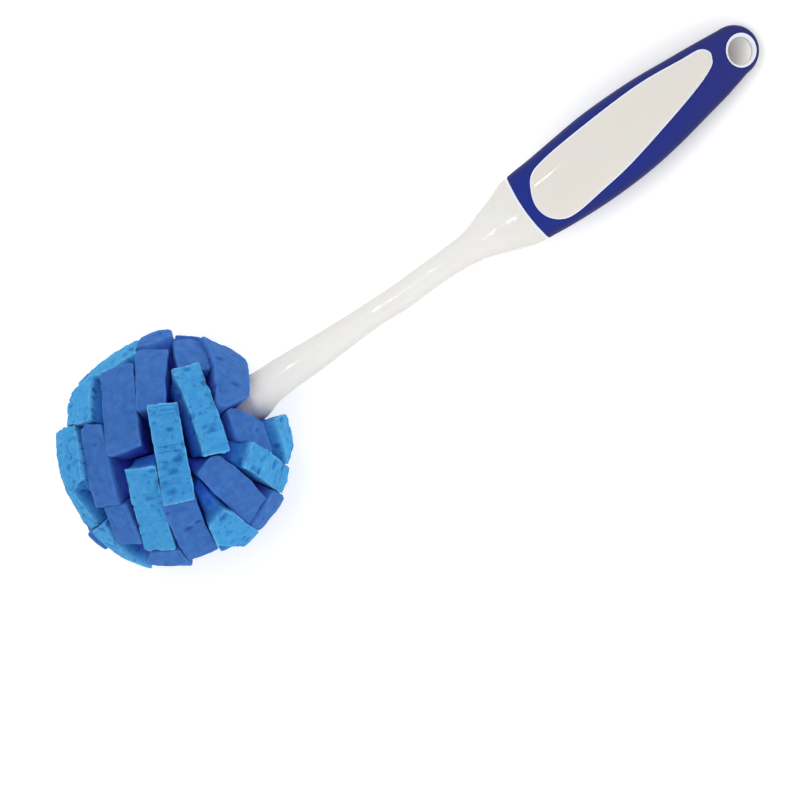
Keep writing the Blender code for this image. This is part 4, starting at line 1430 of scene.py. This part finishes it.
def sponge_material(name, colour, pale, pore, edge, deep, cell_mm, strength):
    """Dyed foam: mottled by slow noise, then painted shade in its pores, a painted highlight on its cut edge
    and painted shade in its depths mixed in.

    A mix node takes its share at input 0, its two colours at 6 and 7, and gives the colour at 2.
    """
    made, tree, shader = new_material(name, roughness=0.95, subsurface_weight=0.45, subsurface_scale=0.005)
    shader.inputs["Subsurface Radius"].default_value = FOAM_SCATTER
    shader.inputs["Specular IOR Level"].default_value = 0.12
    place = add_node(tree, "ShaderNodeTexCoord").outputs["Object"]
    mottle = add_node(tree, "ShaderNodeTexNoise",
                      {"Vector": place, "Scale": per_mm(MOTTLE_CELL), "Detail": 3.0})
    mottle = add_node(tree, "ShaderNodeMapRange",
                      {"Value": mottle.outputs["Fac"], "From Min": MOTTLE_FROM, "From Max": MOTTLE_TO})
    # Nearness to the cut edge mixes in the edge blue, a painted highlight.
    edge_highlight_share = add_node(tree, "ShaderNodeAttribute", attribute_name="edge")
    edge_highlight_share = add_node(tree, "ShaderNodeMath",
                       {0: edge_highlight_share.outputs["Fac"], 1: EDGE_HIGHLIGHT_SHARE}, operation="MULTIPLY")
    # Depth below the face mixes in the deep blue, a painted crevice shade.
    sunk = add_node(tree, "ShaderNodeAttribute", attribute_name="sunk")
    sunk = add_node(tree, "ShaderNodeMapRange",
                    {"Value": sunk.outputs["Fac"], "From Min": SHADE_FROM, "From Max": SHADE_TO})
    # Depth in a pore or crease mixes in the pore blue, a painted shade.
    pore_shade_share = add_node(tree, "ShaderNodeAttribute", attribute_name="pore")
    blue = linear(colour)
    for share, shade in ((mottle.outputs[0], pale), (pore_shade_share.outputs["Fac"], pore),
                         (edge_highlight_share.outputs[0], edge), (sunk.outputs[0], deep)):
        mixed = add_node(tree, "ShaderNodeMix", {0: share, 6: blue, 7: linear(shade)}, data_type="RGBA")
        blue = mixed.outputs[2]
    tree.links.new(blue, shader.inputs["Base Color"])
    cells = add_node(tree, "ShaderNodeTexVoronoi", {"Vector": place, "Scale": per_mm(cell_mm)})
    fuzz = add_node(tree, "ShaderNodeTexNoise", {"Vector": place, "Scale": per_mm(FUZZ_CELL), "Detail": 2.0})
    height = add_node(tree, "ShaderNodeMath",
                      {0: cells.outputs["Distance"], 1: fuzz.outputs["Fac"]}, operation="ADD")
    bump = add_node(tree, "ShaderNodeBump",
                    {"Height": height.outputs[0], "Strength": strength, "Distance": FOAM_BUMP})
    tree.links.new(bump.outputs["Normal"], shader.inputs["Normal"])
    return made


# The light foam's large open cells give a lively, uneven sky blue, the dark foam's fine ones a
# flat mid blue.
# In each, the pore and deep blues are painted shade and the edge blue a painted highlight.
foam_looks = {
    "light": sponge_material("light_blue_open_cell_foam", colour="#3c8fca", pale="#4a9ad1", pore="#286cb2",
                             edge="#64addf", deep="#2656b8", cell_mm=0.8, strength=0.6),
    "dark": sponge_material("dark_blue_fine_cell_foam", colour="#3663a9", pale="#4170b5", pore="#2c51a0",
                            edge="#4374bb", deep="#2936a6", cell_mm=0.6, strength=0.35),
}
for strip, kind in strips:
    strip.data.materials.append(foam_looks[kind])
print("foams:", [look.name for look in foam_looks.values()])

# %% [markdown]
# Both plastics of the handle are moulded, and both change colour a little along it. Toward
# their sides, where they turn away from the light, a painted shade is mixed in. So one function
# mixes a colour for the ball's end, one for the tail's end and a painted shade for the sides.

# %% Colour of a moulded piece
# How much of the normal points up or down where a piece is all top, and where it is all side and gets the
# full painted shade.
TOP_RISE = 0.95
SIDE_RISE = 0.1


def moulded_colour(tree, ball_end, tail_end, start, end, painted_side_shade):
    """A colour that changes along the handle between two places, with a painted shade mixed in where the
    piece turns sideways.
    """
    coordinates = add_node(tree, "ShaderNodeTexCoord").outputs
    along = add_node(tree, "ShaderNodeSeparateXYZ", {"Vector": coordinates["Object"]}).outputs["X"]
    along = add_node(tree, "ShaderNodeMapRange",
                     {"Value": along, "From Min": float(to_world((start, 0.0, 0.0))[0]),
                      "From Max": float(to_world((end, 0.0, 0.0))[0])})
    colour = add_node(tree, "ShaderNodeMix",
                      {0: along.outputs[0], 6: linear(ball_end), 7: linear(tail_end)}, data_type="RGBA")
    rise = add_node(tree, "ShaderNodeSeparateXYZ", {"Vector": coordinates["Normal"]}).outputs["Z"]
    rise = add_node(tree, "ShaderNodeMath", {0: rise}, operation="ABSOLUTE")
    side = add_node(tree, "ShaderNodeMapRange",
                    {"Value": rise.outputs[0], "From Min": TOP_RISE, "From Max": SIDE_RISE})
    return add_node(tree, "ShaderNodeMix", {0: side.outputs[0], 6: colour.outputs[2], 7: linear(painted_side_shade)},
                    data_type="RGBA").outputs[2]


# %% [markdown]
# The core is polypropylene from a polished mould: a warm white, glossy and a little translucent,
# so a lamp shows in it as a small sharp glint. Very faint waves, as the cooling plastic leaves
# them, break the glint up. The panel is a shade creamier than the stem, and the rims get a
# bluish painted highlight.

# %% White polypropylene
# Between these places along the handle the white turns creamier. The waves' cell is in mm.
WHITE_FROM = 135.0 * MM
WHITE_TO = 160.0 * MM
WAVE_CELL = 8.0
WAVE_STRENGTH = 0.2
WAVE_HEIGHT = 0.6 * MM

white_plastic, tree, shader = new_material(
    "white_moulded_polypropylene", roughness=0.09, ior=1.49, subsurface_weight=0.15, subsurface_scale=0.002)
# The last colour is a painted shade for the white moulding's sides.
white = moulded_colour(tree, "#e8e7e4", "#dedad3", WHITE_FROM, WHITE_TO, "#cdcac3")
# The rim attribute mixes in a bluish white, a painted highlight on the moulding's rounded rims.
rim = add_node(tree, "ShaderNodeAttribute", attribute_name="rim")
white = add_node(tree, "ShaderNodeMix",
                 {0: rim.outputs["Fac"], 6: white, 7: linear("#e9ebff")}, data_type="RGBA")
tree.links.new(white.outputs[2], shader.inputs["Base Color"])
place = add_node(tree, "ShaderNodeTexCoord").outputs["Object"]
waves = add_node(tree, "ShaderNodeTexNoise", {"Vector": place, "Scale": per_mm(WAVE_CELL), "Detail": 2.0})
bump = add_node(tree, "ShaderNodeBump",
                {"Height": waves.outputs["Fac"], "Strength": WAVE_STRENGTH, "Distance": WAVE_HEIGHT})
tree.links.new(bump.outputs["Normal"], shader.inputs["Normal"])
core.data.materials.append(white_plastic)
print("core material:", white_plastic.name)

# %% [markdown]
# The grip is a thermoplastic elastomer, moulded in a finely etched mould so that wet hands hold
# it: a satin navy that hardly reflects, a shade more violet toward the tail.

# %% Navy rubber
# Between these places along the handle the navy turns violet. The etching's cell is in mm.
NAVY_FROM = 185.0 * MM
NAVY_TO = 245.0 * MM
ETCH_CELL = 0.4
ETCH_STRENGTH = 0.1
ETCH_HEIGHT = 0.05 * MM

navy_rubber, tree, shader = new_material("navy_thermoplastic_rubber", roughness=0.5, ior=1.5)
shader.inputs["Specular IOR Level"].default_value = 0.1
# The last colour is a painted shade for the grip's sides.
navy = moulded_colour(tree, "#1f2f84", "#2c307a", NAVY_FROM, NAVY_TO, "#171a50")
tree.links.new(navy, shader.inputs["Base Color"])
place = add_node(tree, "ShaderNodeTexCoord").outputs["Object"]
etched = add_node(tree, "ShaderNodeTexNoise", {"Vector": place, "Scale": per_mm(ETCH_CELL), "Detail": 2.0})
bump = add_node(tree, "ShaderNodeBump",
                {"Height": etched.outputs["Fac"], "Strength": ETCH_STRENGTH, "Distance": ETCH_HEIGHT})
tree.links.new(bump.outputs["Normal"], shader.inputs["Normal"])
shell.data.materials.append(navy_rubber)
print("grip material:", navy_rubber.name)

# %% [markdown]
# Last, the picture's colours are left as they are lit.

# %% View transform
bpy.context.scene.view_settings.view_transform = "Standard"
